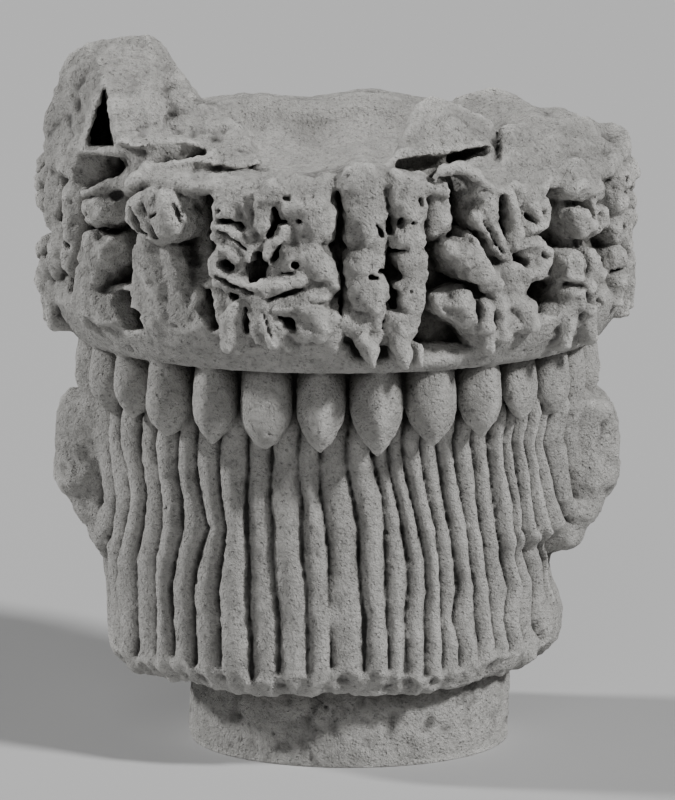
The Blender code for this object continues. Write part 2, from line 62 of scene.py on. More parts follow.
# The solid's own sizes
FACE = 0.303
GROUND = 0.262
BELL_FOOT_Z = 0.088
BELL_WAIST_Z = 0.160
BELL_HEAD_Z = 0.420
BELL_FOOT_RADIUS = 0.223
BELL_WAIST_RADIUS = 0.224
BELL_HEAD_RADIUS = 0.242
BELL_SWAY = -0.0115
BELL_DEPTH_SHARE = 0.90
ROUND_PLAN_Z = (0.300, 0.405)
NECK_RADIUS = 0.163
NECK_OFFSET = 0.012
RIM_Z = 0.620
RIM_TILT = 0.030
HOLLOW_RADIUS = 0.218
HOLLOW_DEPTH = 0.062

# The sculpting grid
STEP = 0.0021
LOW = (-0.3384, -0.3384, -0.0060)
COUNT = (323, 323, 361)
SKIN_TRIANGLES = 196000
FULLNESS = 1.20  # how much wider the carving is than its bright faces in the photograph

# The grooves between the ribs that the photograph shows: their places across it, at eight heights down it
GROOVE_ROWS = (440, 470, 500, 530, 560, 590, 620, 645)
GROOVES = (
    (105, 107, 111, 108, 103, 102, 104, 103), (114, 124, 127, 120, 114, 113, 118, 118),
    (131, 136, 140, 136, 130, 130, 131, 132), (149, 154, 159, 159, 153, 153, 153, 152),
    (172, 174, 178, 179, 171, 166, 167, 169), (189, 192, 197, 204, 193, 187, 189, 191),
    (214, 216, 218, 223, 219, 215, 217, 218), (240, 244, 242, 243, 245, 245, 246, 248),
    (266, 270, 268, 272, 272, 274, 278, 278), (294, 298, 302, 301, 302, 306, 307, 307),
    (316, 318, 320, 325, 328, 328, 329, 331), (343, 348, 355, 360, 361, 363, 367, 367),
    (365, 376, 384, 386, 387, 387, 388, 390), (385, 391, 399, 405, 410, 411, 407, 408),
    (399, 407, 414, 421, 427, 429, 427, 429), (417, 424, 430, 437, 441, 443, 444, 446),
    (435, 443, 447, 454, 459, 463, 457, 465), (451, 458, 465, 471, 474, 478, 479, 482),
    (471, 480, 481, 485, 489, 493, 495, 499), (490, 495, 499, 502, 505, 513, 508, 515),
    (503, 508, 515, 516, 517, 526, 522, 529), (513, 521, 525, 527, 531, 540, 538, 543),
    (524, 533, 535, 543, 547, 550, 551, 553), (536, 542, 549, 557, 560, 560, 560, 560),
    (548, 558, 564, 569, 570, 570, 570, 570),
)
HIDDEN_RIBS = 28
RIB_DEPTH = 0.0125
FLARE = 0.022  # the ribs swell out to the right under the leaf

# What is left above the rim, as in the solid: corners as (x, y, height above the rim)
STUMP = (
    (-0.290, -0.060, -0.030), (-0.287, -0.100, -0.020), (-0.240, -0.175, -0.030), (-0.176, -0.222, -0.020),
    (-0.205, -0.020, -0.045), (-0.140, -0.090, -0.060), (-0.292, -0.075, 0.032), (-0.278, -0.085, 0.068),
    (-0.262, -0.095, 0.089), (-0.242, -0.105, 0.105), (-0.183, -0.115, 0.111), (-0.168, -0.120, 0.096),
    (-0.144, -0.130, 0.061), (-0.129, -0.135, 0.044), (-0.220, -0.180, 0.048), (-0.172, -0.195, 0.040),
    (-0.190, -0.070, 0.095), (-0.250, -0.060, 0.070),
)
SHOULDER = (
    (-0.195, -0.225, -0.020), (-0.076, -0.235, -0.017), (-0.070, -0.180, -0.040), (-0.125, -0.090, -0.060),
    (-0.167, -0.160, 0.048), (-0.119, -0.140, 0.047), (-0.094, -0.165, 0.037), (-0.080, -0.190, 0.019),
    (-0.073, -0.215, -0.003), (-0.165, -0.220, 0.014), (-0.125, -0.235, 0.010),
)
MIDDLE_LUMP = (
    (0.040, -0.232, -0.020), (0.150, -0.222, -0.020), (0.175, -0.110, -0.045), (0.050, -0.120, -0.060),
    (0.055, -0.220, 0.006), (0.075, -0.175, 0.046), (0.090, -0.170, 0.057), (0.109, -0.160, 0.051),
    (0.139, -0.150, 0.035), (0.153, -0.150, 0.026), (0.147, -0.205, 0.004),
)
RIGHT_SLAB = (
    (0.150, -0.235, -0.030), (0.205, -0.205, -0.030), (0.262, -0.125, -0.030), (0.288, -0.030, -0.030),
    (0.158, -0.150, 0.023), (0.203, -0.120, 0.022), (0.250, -0.060, 0.022), (0.261, -0.050, 0.014),
    (0.283, -0.020, -0.008), (0.160, -0.222, -0.002), (0.215, 0.030, 0.000), (0.250, 0.090, 0.002),
    (0.185, -0.020, -0.050),
)
BACK_LUMP = (
    (0.110, 0.235, -0.020), (0.235, 0.135, -0.020), (0.122, 0.180, 0.016), (0.163, 0.170, 0.027),
    (0.189, 0.170, 0.019), (0.214, 0.130, 0.002), (0.145, 0.115, -0.050), (0.150, 0.225, 0.010),
)
LOST_PIECES = ((-0.035, -0.315, 0.000, 0.030), (-0.230, -0.205, -0.020, 0.030), (0.285, 0.130, -0.010, 0.034))

# The worn side leaves: out from the bell's waist, to either side, height
LEAF_CORNERS = (
    (-0.034, 0.078, 0.356), (-0.034, 0.046, 0.190), (0.038, 0.062, 0.360), (0.056, 0.040, 0.352),
    (0.065, 0.030, 0.332), (0.066, 0.026, 0.300), (0.061, 0.026, 0.264), (0.034, 0.030, 0.236),
    (0.010, 0.030, 0.203),
)
LEAF_LOBES = ((0.034, 0.272, 0.026), (0.020, 0.240, 0.023), (0.008, 0.212, 0.020))


def smoothstep(low, high, value):
    share = np.clip((value - low) / (high - low), 0.0, 1.0)
    return share * share * (3.0 - 2.0 * share)


def soft_min(a, b, blend):
    """The union of two distances, run into each other over the blend's length."""
    near = np.maximum(blend - np.abs(a - b), 0.0) / blend
    return np.minimum(a, b) - near * near * (blend * 0.25)


def soft_max(a, b, blend):
    return -soft_min(-a, -b, blend)


def wave_noise(points, size, seed):
    """Smooth gradient noise in about -1..1 at an (n, 3) array of points, its features about this size."""
    scaled = points / size + seed * 17.31
    cell = np.floor(scaled).astype(np.int64)
    inside = scaled - cell
    fade = inside * inside * inside * (inside * (inside * 6.0 - 15.0) + 10.0)
    total = np.zeros(len(points))
    for corner in range(8):
        step = np.array((corner & 1, corner >> 1 & 1, corner >> 2 & 1))
        at_corner = cell + step
        mixed = at_corner[:, 0] * 374761393 + at_corner[:, 1] * 668265263 + at_corner[:, 2] * 2147483647
        mixed = (mixed ^ mixed >> 13) * 1274126177
        mixed = mixed ^ mixed >> 16
        gradient = np.stack(((mixed & 255), (mixed >> 8 & 255), (mixed >> 16 & 255)), axis=1) / 127.5 - 1.0
        dot = ((inside - step) * gradient).sum(axis=1)
        weight = np.where(step == 1, fade, 1.0 - fade).prod(axis=1)
        total += dot * weight
    return total


def from_photo(x, y, radius):
    """The azimuth and height at which a place in the photograph lies on an upright drum of this radius."""
    lift_cos, lift_sin = math.cos(VIEW_LIFT), math.sin(VIEW_LIFT)
    right, up = (x - PHOTO_SIZE[0] / 2) * PIXEL, (PHOTO_SIZE[1] / 2 - y) * PIXEL
    start = (0.0, -VIEW_DISTANCE * lift_cos, VIEW_TARGET + VIEW_DISTANCE * lift_sin)
    ray = (right, VIEW_DISTANCE * lift_cos + up * lift_sin, -VIEW_DISTANCE * lift_sin + up * lift_cos)
    a = ray[0] ** 2 + ray[1] ** 2
    b = start[1] * ray[1]
    c = start[1] ** 2 - radius ** 2
    share = (-b - math.sqrt(max(b * b - a * c, 0.0))) / a
    px, py = ray[0] * share, start[1] + ray[1] * share
    return math.degrees(math.atan2(px, -py)), start[2] + ray[2] * share


# ---------------------------------------------------------------- the grid

nx, ny, nz = COUNT
axis_x = LOW[0] + STEP * np.arange(nx, dtype=np.float32)
axis_y = LOW[1] + STEP * np.arange(ny, dtype=np.float32)
axis_z = (LOW[2] + STEP * np.arange(nz)).astype(np.float32)
flat_x, flat_y = [values.ravel() for values in np.meshgrid(axis_x, axis_y)]
flat_r = np.hypot(flat_x, flat_y)
flat_turn = np.degrees(np.arctan2(flat_x, -flat_y)).astype(np.float32)
field = np.full((nz, nx * ny), 1.0, dtype=np.float32)


def profile_table(outline):
    """Signed distances to a turned outline, on a grid of radius and height, for looking up."""
    radius, height = np.meshgrid(np.arange(0.0, 0.401, 0.001), np.arange(0.32, 0.721, 0.001))
    best = np.full(radius.shape, 1.0)
    inside = np.zeros(radius.shape, dtype=bool)
    for (ra, za), (rb, zb) in zip(outline, outline[1:] + outline[:1]):
        run, rise = rb - ra, zb - za
        share = np.clip(((radius - ra) * run + (height - za) * rise) / (run * run + rise * rise + 1e-12), 0.0, 1.0)
        best = np.minimum(best, np.hypot(radius - ra - share * run, height - za - share * rise))
        if za != zb:
            crosses = (za > height) != (zb > height)
            inside ^= crosses & (radius < run * (height - za) / rise + ra)
    return np.where(inside, -best, best).astype(np.float32)


def drum_outline():
    outline = [(-0.05, 0.350), (0.212, 0.350), (0.222, 0.397)]
    outline += [(0.236, 0.422), (0.2625, 0.4185), (0.268, 0.423), (0.282, 0.442), (0.290, 0.457), (0.2925, 0.467)]
    outline += [(0.290, 0.478)]
    outline += [(0.281, 0.492), (0.271, 0.512), (GROUND + 0.002, 0.535), (GROUND - 0.002, 0.560)]
    outline += [(GROUND + 0.004, 0.580), (0.278, 0.592), (0.292, 0.600), (0.295, 0.607), (0.292, 0.613), (0.284, 0.618)]
    outline += [(HOLLOW_RADIUS + 0.018, RIM_Z)]
    for step in range(9):
        turn = math.pi / 2 * step / 8
        outline.append((HOLLOW_RADIUS * math.cos(turn), RIM_Z - 0.010 - (HOLLOW_DEPTH - 0.010) * math.sin(turn)))
    outline.append((-0.05, RIM_Z - HOLLOW_DEPTH))
    return outline


def look_up(table, radius, height):
    column = np.clip(radius / 0.001, 0.0, table.shape[1] - 1.001)
    row = np.clip((height - 0.32) / 0.001, 0.0, table.shape[0] - 1.001)
    c, r = column.astype(np.int32), row.astype(np.int32)
    u, v = column - c, row - r
    low = table[r, c] * (1 - u) + table[r, c + 1] * u
    high = table[r + 1, c] * (1 - u) + table[r + 1, c + 1] * u
    return low * (1 - v) + high * v


def groove_lines():
    """Each shown groove as its azimuths and heights, from the top of the bell down."""
    lines = []
    for places in GROOVES:
        line = []
        for x, y in zip(places, GROOVE_ROWS):
            z, front, angle = 0.25, 0.2, (x - 325) * 0.26
            for _ in range(5):
                scale = (VIEW_DISTANCE - front * math.cos(VIEW_LIFT) - (z - VIEW_TARGET) * math.sin(VIEW_LIFT))
                scale *= PIXEL / VIEW_DISTANCE
                across = (x - PHOTO_SIZE[0] / 2) * scale - BELL_SWAY
                radius = float(bell_radius(z) + flare(angle, z))
                across = max(-0.992 * radius, min(0.992 * radius, across))
                front = BELL_DEPTH_SHARE * math.sqrt(radius ** 2 - across ** 2)
                angle = math.degrees(math.asin(across / radius))
                z = VIEW_TARGET + ((PHOTO_SIZE[1] / 2 - y) * scale + front * math.sin(VIEW_LIFT)) / math.cos(VIEW_LIFT)
            line.append((angle, z))
        lines.append(line)
    return lines


def flare(turn, z):
    """How much further out the ribs stand on the right, where they run up on to the leaf."""
    aside = smoothstep(38.0, 74.0, turn) * (1.0 - smoothstep(108.0, 135.0, turn))
    return FLARE * aside * smoothstep(0.208, 0.232, z) * (1.0 - smoothstep(0.36, 0.41, z))


def bell_radius(z):
    share = np.clip((z - BELL_WAIST_Z) / (BELL_HEAD_Z - BELL_WAIST_Z), 0.0, 1.2)
    low = BELL_FOOT_RADIUS + (BELL_WAIST_RADIUS - BELL_FOOT_RADIUS) * np.clip((z - BELL_FOOT_Z) / 0.072, 0.0, 1.0)
    return low + (BELL_HEAD_RADIUS - BELL_WAIST_RADIUS) * share ** 0.8


def lay_out():
    """The bell with its ribs, the neck and the uncarved drum, layer by layer."""
    table = profile_table(drum_outline())
    lines = groove_lines()
    for level, z in enumerate(axis_z):
        z = float(z)
        roundness = float(smoothstep(*ROUND_PLAN_Z, z))
        depth = BELL_DEPTH_SHARE + (1.0 - BELL_DEPTH_SHARE) * roundness
        plan_x = flat_x - BELL_SWAY * (1.0 - roundness)
        plan_y = flat_y / depth
        radius = np.hypot(plan_x, plan_y)
        layer = np.full(radius.shape, 1.0, dtype=np.float32)
        if 0.04 < z < 0.44:
            turn = np.degrees(np.arctan2(plan_x, -plan_y))
            edges = [np.interp(-z, [-height for _, height in line], [angle for angle, _ in line]) for line in lines]
            edges = np.maximum.accumulate(np.array(edges) + np.arange(len(edges)) * -2.6) + np.arange(len(edges)) * 2.6
            width = (360.0 + edges[0] - edges[-1]) / HIDDEN_RIBS
            edges = np.append(edges, edges[-1] + width * np.arange(1, HIDDEN_RIBS + 1))
            place = np.interp((turn - edges[0]) % 360.0 + edges[0], edges, np.arange(len(edges)))
            swell = np.abs(np.sin(math.pi * place))
            patch = np.exp(-((turn - 1.0) / 7.0) ** 2 - ((z - 0.172) / 0.032) ** 2)
            patch += 0.7 * np.exp(-((turn + 3.0) / 8.0) ** 2 - ((z - 0.318) / 0.022) ** 2)
            cut = RIB_DEPTH * (1.0 - 0.75 * np.clip(patch, 0.0, 1.0))
            number = np.floor(place)
            proud = 0.0022 * np.sin(number * 2.4) + 0.0012 * np.sin(number * 5.1 + z * 22.0)
            ragged = 0.0045 * np.sin(turn * 0.13 + 1.0) + 0.0025 * np.sin(turn * 0.41) + 0.0015 * np.sin(turn * 1.1 + 2.0)
            end = smoothstep(0.0, 0.007, z - 0.103 - ragged)
            skin = bell_radius(z) + flare(turn, z) + proud * end - cut * (0.12 + 0.88 * end) * (1.0 - swell ** 0.5)
            skin -= 0.016 * (1.0 - smoothstep(-0.022, 0.004, z - 0.103 - ragged))
            skin -= 0.013 * float(smoothstep(0.352, 0.388, z))
            under = BELL_FOOT_Z - 0.004 - 0.014 * (1.0 - radius / BELL_FOOT_RADIUS) + 0.4 * ragged
            layer = soft_max((radius - skin) * 0.9, np.maximum(under - z, z - 0.43), 0.005)
        neck = np.hypot(flat_x - NECK_OFFSET, flat_y / BELL_DEPTH_SHARE) - NECK_RADIUS
        neck = np.maximum(neck, max(z - 0.12, -z))
        layer = soft_min(layer, neck, 0.010) if z > 0.02 else np.minimum(layer, neck)
        if 0.34 < z < 0.72:
            turn = np.radians(flat_turn)
            rise = RIM_TILT * flat_y + 0.0040 * np.sin(4.0 * turn + 1.2) + 0.0036 * np.sin(9.0 * turn + 0.4)
            rise = (rise + 0.0018 * np.sin(15.0 * turn)) * float(smoothstep(0.54, 0.60, z))
            layer = soft_min(layer, look_up(table, flat_r, z - rise), 0.008)
        field[level] = layer


# ---------------------------------------------------------------- carving

def columns_near(azimuth, spread, low, high):
    away = np.abs((flat_turn - azimuth + 180.0) % 360.0 - 180.0)
    return np.nonzero((away < spread) & (flat_r > low) & (flat_r < high))[0]


def levels(low, high):
    first = max(int((low - LOW[2]) / STEP), 0)
    last = min(int((high - LOW[2]) / STEP) + 2, nz)
    return slice(first, last)


def stroke(knots, sizes, face=FACE, dome=0.007, root=0.245, blend=0.0025, cut=False):
    """A raised or cut stroke over the drum's face.

    Its knots are (azimuth, height), and its half widths are lengths on the face. A raised stroke stands from
    the root's radius to the face's, lower by the dome at its edges; a cut one goes down to the root's radius.
    """
    knots = [(math.radians(angle) * FACE, z) for angle, z in knots]
    if len(knots) == 1:
        knots = knots * 2
        sizes = tuple(sizes) * 2
    middle = sum(u for u, _ in knots) / len(knots)
    widest = max(sizes) + 0.012
    spread = max(abs(u - middle) for u, _ in knots) + widest
    columns = columns_near(math.degrees(middle / FACE), math.degrees(spread / FACE), root - 0.014, face + 0.034)
    rows = levels(min(z for _, z in knots) - widest, max(z for _, z in knots) + widest)
    if not len(columns):
        return
    away = (flat_turn[columns] - math.degrees(middle / FACE) + 180.0) % 360.0 - 180.0
    u = (np.radians(away) * FACE + middle).astype(np.float32)[None, :]
    v = axis_z[rows][:, None]
    edge = np.full((v.shape[0], u.shape[1]), 1.0, dtype=np.float32)
    share = np.full(edge.shape, 9.0, dtype=np.float32)
    for (ua, va), (ub, vb), sa, sb in zip(knots, knots[1:], sizes, sizes[1:]):
        run, rise = ub - ua, vb - va
        along = np.clip(((u - ua) * run + (v - va) * rise) / (run * run + rise * rise + 1e-12), 0.0, 1.0)
        gap = np.hypot(u - ua - along * run, v - va - along * rise)
        size = sa + (sb - sa) * along
        edge = np.minimum(edge, gap - size)
        share = np.minimum(share, gap / size)
    radius = flat_r[columns][None, :]
    here = field[rows][:, columns]
    if cut:
        made = soft_max(edge, root - radius, 0.003)
        field[rows, columns] = soft_max(here, -made, blend)
    else:
        front = face - dome * np.clip(share, 0.0, 1.3) ** 2
        made = soft_max(edge, radius - front, 0.0025)
        made = np.maximum(made, root - radius)
        field[rows, columns] = soft_min(here, made, blend)


def patch(outline, face=FACE, dome=0.009, root=0.240, blend=0.003, cut=False, slope=0.06):
    """A raised or cut area of the drum inside an outline in the photograph, worn round at its edges."""
    places = [from_photo(x, y, FACE) for x, y in outline]
    corners = [(math.radians(angle) * FACE, z) for angle, z in places]
    middle = sum(u for u, _ in corners) / len(corners)
    spread = max(abs(u - middle) for u, _ in corners) + 0.016
    columns = columns_near(math.degrees(middle / FACE), math.degrees(spread / FACE), root - 0.014, face + 0.034)
    rows = levels(min(z for _, z in corners) - 0.016, max(z for _, z in corners) + 0.016)
    away = (flat_turn[columns] - math.degrees(middle / FACE) + 180.0) % 360.0 - 180.0
    u = (np.radians(away) * FACE + middle).astype(np.float32)[None, :]
    v = axis_z[rows][:, None]
    gap = np.full((v.shape[0], u.shape[1]), 1.0, dtype=np.float32)
    inside = np.zeros(gap.shape, dtype=bool)
    for (ua, va), (ub, vb) in zip(corners, corners[1:] + corners[:1]):
        run, rise = ub - ua, vb - va
        along = np.clip(((u - ua) * run + (v - va) * rise) / (run * run + rise * rise + 1e-12), 0.0, 1.0)
        gap = np.minimum(gap, np.hypot(u - ua - along * run, v - va - along * rise))
        if va != vb:
            inside ^= ((va > v) != (vb > v)) & (u < run * (v - va) / rise + ua)
    edge = np.where(inside, -gap, gap)
    radius = flat_r[columns][None, :]
    here = field[rows][:, columns]
    if cut:
        made = soft_max(edge + slope * (face - radius), root - radius, 0.004)
        field[rows, columns] = soft_max(here, -made, blend)
    else:
        front = face - dome * np.clip(1.0 + edge / 0.010, 0.0, 1.3) ** 2
        made = soft_max(edge - slope * (face - radius), radius - front, 0.0025)
        made = np.maximum(made, root - radius)
        field[rows, columns] = soft_min(here, made, blend)


def drawn(knots, sizes, **how):
    """A stroke whose knots are places in the photograph and whose half widths are in millimetres."""
    face = how.get("face", FACE)
    stroke([from_photo(x, y, face) for x, y in knots], [FULLNESS * size / 1000 for size in sizes], **how)


def drilled(knots, sizes, root=GROUND + 0.006, **how):
    stroke([from_photo(x, y, FACE) for x, y in knots], [size / 1000 for size in sizes], root=root, cut=True, **how)


def hull_planes(corners):
    work = bmesh.new()
    made = bmesh.ops.convex_hull(work, input=[work.verts.new(corner) for corner in corners])
    faces = [item for item in made["geom"] if isinstance(item, bmesh.types.BMFace)]
    middle = sum((Vector(corner) for corner in corners), Vector()) / len(corners)
    planes = []
    for face in faces:
        normal = face.normal.copy()
        reach = normal.dot(face.calc_center_median())
        if normal.dot(middle) > reach:
            normal, reach = -normal, -reach
        planes.append((normal, reach))
    work.free()
    return planes


def block(corners, blend=0.008, edge=0.003, cut=False):
    """A broken lump of stone, its edges a little rounded, fused to what is there, or its hollow."""
    low = [min(corner[axis] for corner in corners) - 0.015 for axis in range(3)]
    high = [max(corner[axis] for corner in corners) + 0.015 for axis in range(3)]
    columns = np.nonzero((flat_x > low[0]) & (flat_x < high[0]) & (flat_y > low[1]) & (flat_y < high[1]))[0]
    rows = levels(low[2], high[2])
    x, y, z = flat_x[columns][None, :], flat_y[columns][None, :], axis_z[rows][:, None]
    made = None
    for normal, reach in hull_planes(corners):
        plane = x * normal.x + y * normal.y + z * normal.z - reach
        made = plane if made is None else soft_max(made, plane, edge)
    here = field[rows][:, columns]
    field[rows, columns] = soft_max(here, -made, blend) if cut else soft_min(here, made, blend)


def seen_at(x, y, depth):
    """The point at this Y that lies at a place in the photograph."""
    lift_cos, lift_sin = math.cos(VIEW_LIFT), math.sin(VIEW_LIFT)
    right, up = (x - PHOTO_SIZE[0] / 2) * PIXEL, (PHOTO_SIZE[1] / 2 - y) * PIXEL
    share = (depth + VIEW_DISTANCE * lift_cos) / (VIEW_DISTANCE * lift_cos + up * lift_sin)
    height = VIEW_TARGET + VIEW_DISTANCE * lift_sin + share * (up * lift_cos - VIEW_DISTANCE * lift_sin)
    return right * share, depth, height


def knocked_out(outline, far, near=-0.34, shrink=0.7, blend=0.006):
    """Breaks away what lies in front of a depth inside an outline in the photograph."""
    mid_x = sum(x for x, _ in outline) / len(outline)
    mid_y = sum(y for _, y in outline) / len(outline)
    corners = [seen_at(x, y, near) for x, y in outline]
    corners += [seen_at(mid_x + (x - mid_x) * shrink, mid_y + (y - mid_y) * shrink, far) for x, y in outline]
    block(corners, blend, 0.004, cut=True)


def ball(centre, sizes, azimuth=0.0, blend=0.010, cut=False, lean=0.0):
    """An ellipsoid, its sizes across, outwards and upwards at that azimuth."""
    reach = max(sizes) + 0.015
    columns = np.nonzero((np.abs(flat_x - centre[0]) < reach) & (np.abs(flat_y - centre[1]) < reach))[0]
    rows = levels(centre[2] - reach, centre[2] + reach)
    dx, dy, dz = flat_x[columns][None, :] - centre[0], flat_y[columns][None, :] - centre[1], axis_z[rows][:, None] - centre[2]
    turn, tip = math.radians(azimuth), math.radians(lean)
    across = dx * math.cos(turn) + dy * math.sin(turn)
    out = dx * math.sin(turn) - dy * math.cos(turn)
    out, up = out * math.cos(tip) - dz * math.sin(tip), dz * math.cos(tip) + out * math.sin(tip)
    made = np.sqrt((across / sizes[0]) ** 2 + (out / sizes[1]) ** 2 + (up / sizes[2]) ** 2)
    made = (made - 1.0) * min(sizes)
    here = field[rows][:, columns]
    field[rows, columns] = soft_max(here, -made, blend) if cut else soft_min(here, made, blend)


def bell_point(azimuth, radius, z):
    turn = math.radians(azimuth)
    roundness = float(smoothstep(*ROUND_PLAN_Z, z))
    depth = BELL_DEPTH_SHARE + (1.0 - BELL_DEPTH_SHARE) * roundness
    return (BELL_SWAY * (1.0 - roundness) + radius * math.sin(turn), -radius * math.cos(turn) * depth, z)


def egg(azimuth, half_width, tip_z, proud=1.0, section=2.0, blunt=2.4, top_z=0.432):
    """One hanging egg: full above, running to a point below, and leaning out at its foot."""
    middle = bell_point(azimuth, BELL_HEAD_RADIUS - 0.002, (top_z + tip_z) / 2)
    half = (top_z - tip_z) / 2
    reach = half + 0.02
    columns = np.nonzero((np.abs(flat_x - middle[0]) < reach) & (np.abs(flat_y - middle[1]) < reach))[0]
    rows = levels(middle[2] - reach, middle[2] + reach)
    dx, dy, dz = flat_x[columns][None, :] - middle[0], flat_y[columns][None, :] - middle[1], axis_z[rows][:, None] - middle[2]
    turn, tip = math.radians(azimuth), math.radians(-8.0)
    across = dx * math.cos(turn) + dy * math.sin(turn)
    out = dx * math.sin(turn) - dy * math.cos(turn)
    out, up = out * math.cos(tip) - dz * math.sin(tip), dz * math.cos(tip) + out * math.sin(tip)
    share = np.abs(up) / half
    fullness = np.where(up > 0.0, 1.0 - 0.12 * share ** 3, 1.0 - share ** blunt)
    girth = (np.abs(across / half_width) ** section + np.abs(out / (0.026 * proud)) ** section) ** (1.0 / section)
    made = (girth - fullness) * half_width * 0.85
    made = np.maximum(made, up - half)
    field[rows, columns] = soft_min(field[rows][:, columns], made, 0.004)


def rosette(azimuth, z, size=0.031, petals=5, turned=0.0, face=FACE):
    """A round flower on a stout peg: petals parted by slits, round a button."""
    def around(turn, reach):
        return azimuth + math.degrees(reach * math.sin(turn) / FACE), z + reach * math.cos(turn)
    stroke([(azimuth, z)], [size], face=face - 0.003, dome=0.006)
    for count in range(petals):
        turn = 2 * math.pi * count / petals + math.radians(turned)
        knots = [around(turn, 0.52 * size), around(turn, 0.70 * size)]
        stroke(knots, [0.36 * size, 0.34 * size], face=face + 0.001, dome=0.007, blend=0.002)
    for count in range(petals):
        turn = 2 * math.pi * (count + 0.5) / petals + math.radians(turned)
        knots = [around(turn, 0.36 * size), around(turn, 1.02 * size)]
        stroke(knots, [0.0010, 0.0026], root=face - 0.015, cut=True, blend=0.003)
    ring = [around(2 * math.pi * count / 10, 0.34 * size) for count in range(11)]
    stroke(ring, [0.0014] * 11, root=face - 0.010, cut=True, blend=0.002)
    stroke([(azimuth, z)], [0.22 * size], face=face + 0.001, dome=0.004, blend=0.002)


def leaf_tips(azimuth, low=0.434):
    for side in (-1, 1):
        knots = [(azimuth + side * 1.8, 0.482), (azimuth + side * 3.2, 0.464), (azimuth + side * 4.8, low)]
        stroke(knots, [0.015, 0.014, 0.006], face=FACE - 0.005, dome=0.007, root=0.235)


def rosettes(azimuth):
    stroke([(azimuth, 0.470), (azimuth, 0.600)], [0.016, 0.016], face=GROUND + 0.014, dome=0.008)
    rosette(azimuth, 0.493, 0.031, 5, 20.0)
    rosette(azimuth, 0.573, 0.031, 5, -10.0)
    leaf_tips(azimuth)


def plain_plant(azimuth):
    """The plainer plant of the hidden sides: petals that hang from a calyx and two pairs of curls."""
    def place(across, z):
        return azimuth + math.degrees(across / FACE), z
    stroke([place(0.0, 0.478), place(0.0, 0.540)], [0.036, 0.022], face=GROUND + 0.018, dome=0.010)
    for side in (-1, 1):
        knots = [place(side * 0.004, 0.496), place(side * 0.016, 0.478), place(side * 0.022, 0.448)]
        stroke(knots, [0.008, 0.013, 0.005], face=FACE - 0.002, dome=0.008)
        knots = [place(side * 0.010, 0.502), place(side * 0.032, 0.484), place(side * 0.048, 0.462)]
        stroke(knots, [0.008, 0.014, 0.005], face=FACE - 0.003, dome=0.008)
        for across, z in ((0.040, 0.536), (0.036, 0.584)):
            knots = [place(0.0, 0.500), place(side * across * 0.35, 0.505 + (z - 0.505) * 0.45), place(side * across * 0.72, z - 0.004)]
            stroke(knots, [0.009, 0.008, 0.009], face=FACE - 0.006, dome=0.006)
            stroke([place(side * across, z)], [0.0165], face=FACE - 0.001, dome=0.009)
            stroke([place(side * (across + 0.003), z)], [0.0032], root=FACE - 0.022, cut=True, blend=0.002)
    stroke([place(0.0, 0.556), place(0.0, 0.586)], [0.011, 0.009], face=FACE - 0.004, dome=0.008)


def niches():
    """The deep grounds between the stacks, and the hollow under the right-hand half."""
    patch([(183, 194), (205, 194), (206, 236), (205, 266), (194, 264), (184, 242)], root=0.246, cut=True)
    patch([(184, 288), (197, 290), (216, 332), (204, 334), (190, 314)], root=0.254, cut=True)
    patch([(334, 190), (346, 194), (346, 322), (336, 320), (339, 296), (341, 276), (337, 250), (338, 220)],
          root=0.244, cut=True)
    patch([(430, 248), (447, 247), (460, 272), (475, 282), (494, 294), (474, 290), (445, 302), (445, 314),
           (470, 328), (484, 338), (486, 352), (430, 354), (416, 345), (424, 320), (432, 290)], root=0.247, cut=True)
    patch([(452, 172), (474, 174), (480, 190), (478, 216), (486, 234), (472, 236), (458, 240), (456, 200)],
          root=0.246, cut=True)
    patch([(556, 194), (574, 182), (580, 206), (584, 232), (590, 246), (575, 252), (550, 256), (545, 240),
           (553, 228), (557, 212)], root=0.244, cut=True)
    patch([(538, 282), (556, 277), (576, 280), (578, 300), (566, 318), (548, 318), (546, 308), (538, 296)],
          root=0.246, cut=True)
    patch([(338, 322), (352, 332), (420, 337), (486, 338), (502, 346), (496, 360), (470, 371), (420, 377),
           (380, 379), (345, 377), (335, 350)], root=0.264, cut=True, blend=0.010, slope=0.4)


def left_stack():
    """The worn knob and the smooth shaft under it, on the left of the front."""
    patch([(118, 220), (122, 204), (130, 194), (146, 186), (166, 188), (176, 200), (183, 220), (179, 237),
           (166, 244), (150, 247), (138, 243), (127, 235)], face=0.302, dome=0.016)
    patch([(115, 244), (160, 240), (172, 262), (178, 290), (186, 320), (170, 334), (134, 332), (120, 312),
           (114, 290)], face=0.288, dome=0.018, slope=0.3)
    drawn([(140, 250), (146, 278), (158, 308)], [15, 15, 18], face=0.294, dome=0.010)
    drawn([(132, 206), (146, 199)], [8, 9], face=0.305, dome=0.006)
    drawn([(160, 204), (162, 224)], [11, 12], face=0.305, dome=0.008)
    drawn([(143, 221)], [7], face=0.304, dome=0.006)
    drilled([(130, 208), (132, 218), (135, 229)], [2.6, 4.2, 3.0], root=0.284)
    drilled([(141, 204), (143, 211)], [1.5, 1.7], root=0.293)
    drilled([(149, 217), (157, 213)], [1.8, 1.6], root=0.292)
    drilled([(138, 232), (144, 235)], [2.4, 2.0], root=0.288)
    drilled([(150, 228), (152, 236)], [1.8, 3.0], root=0.286)
    drilled([(170, 204), (176, 222)], [1.8, 2.2], root=0.290)


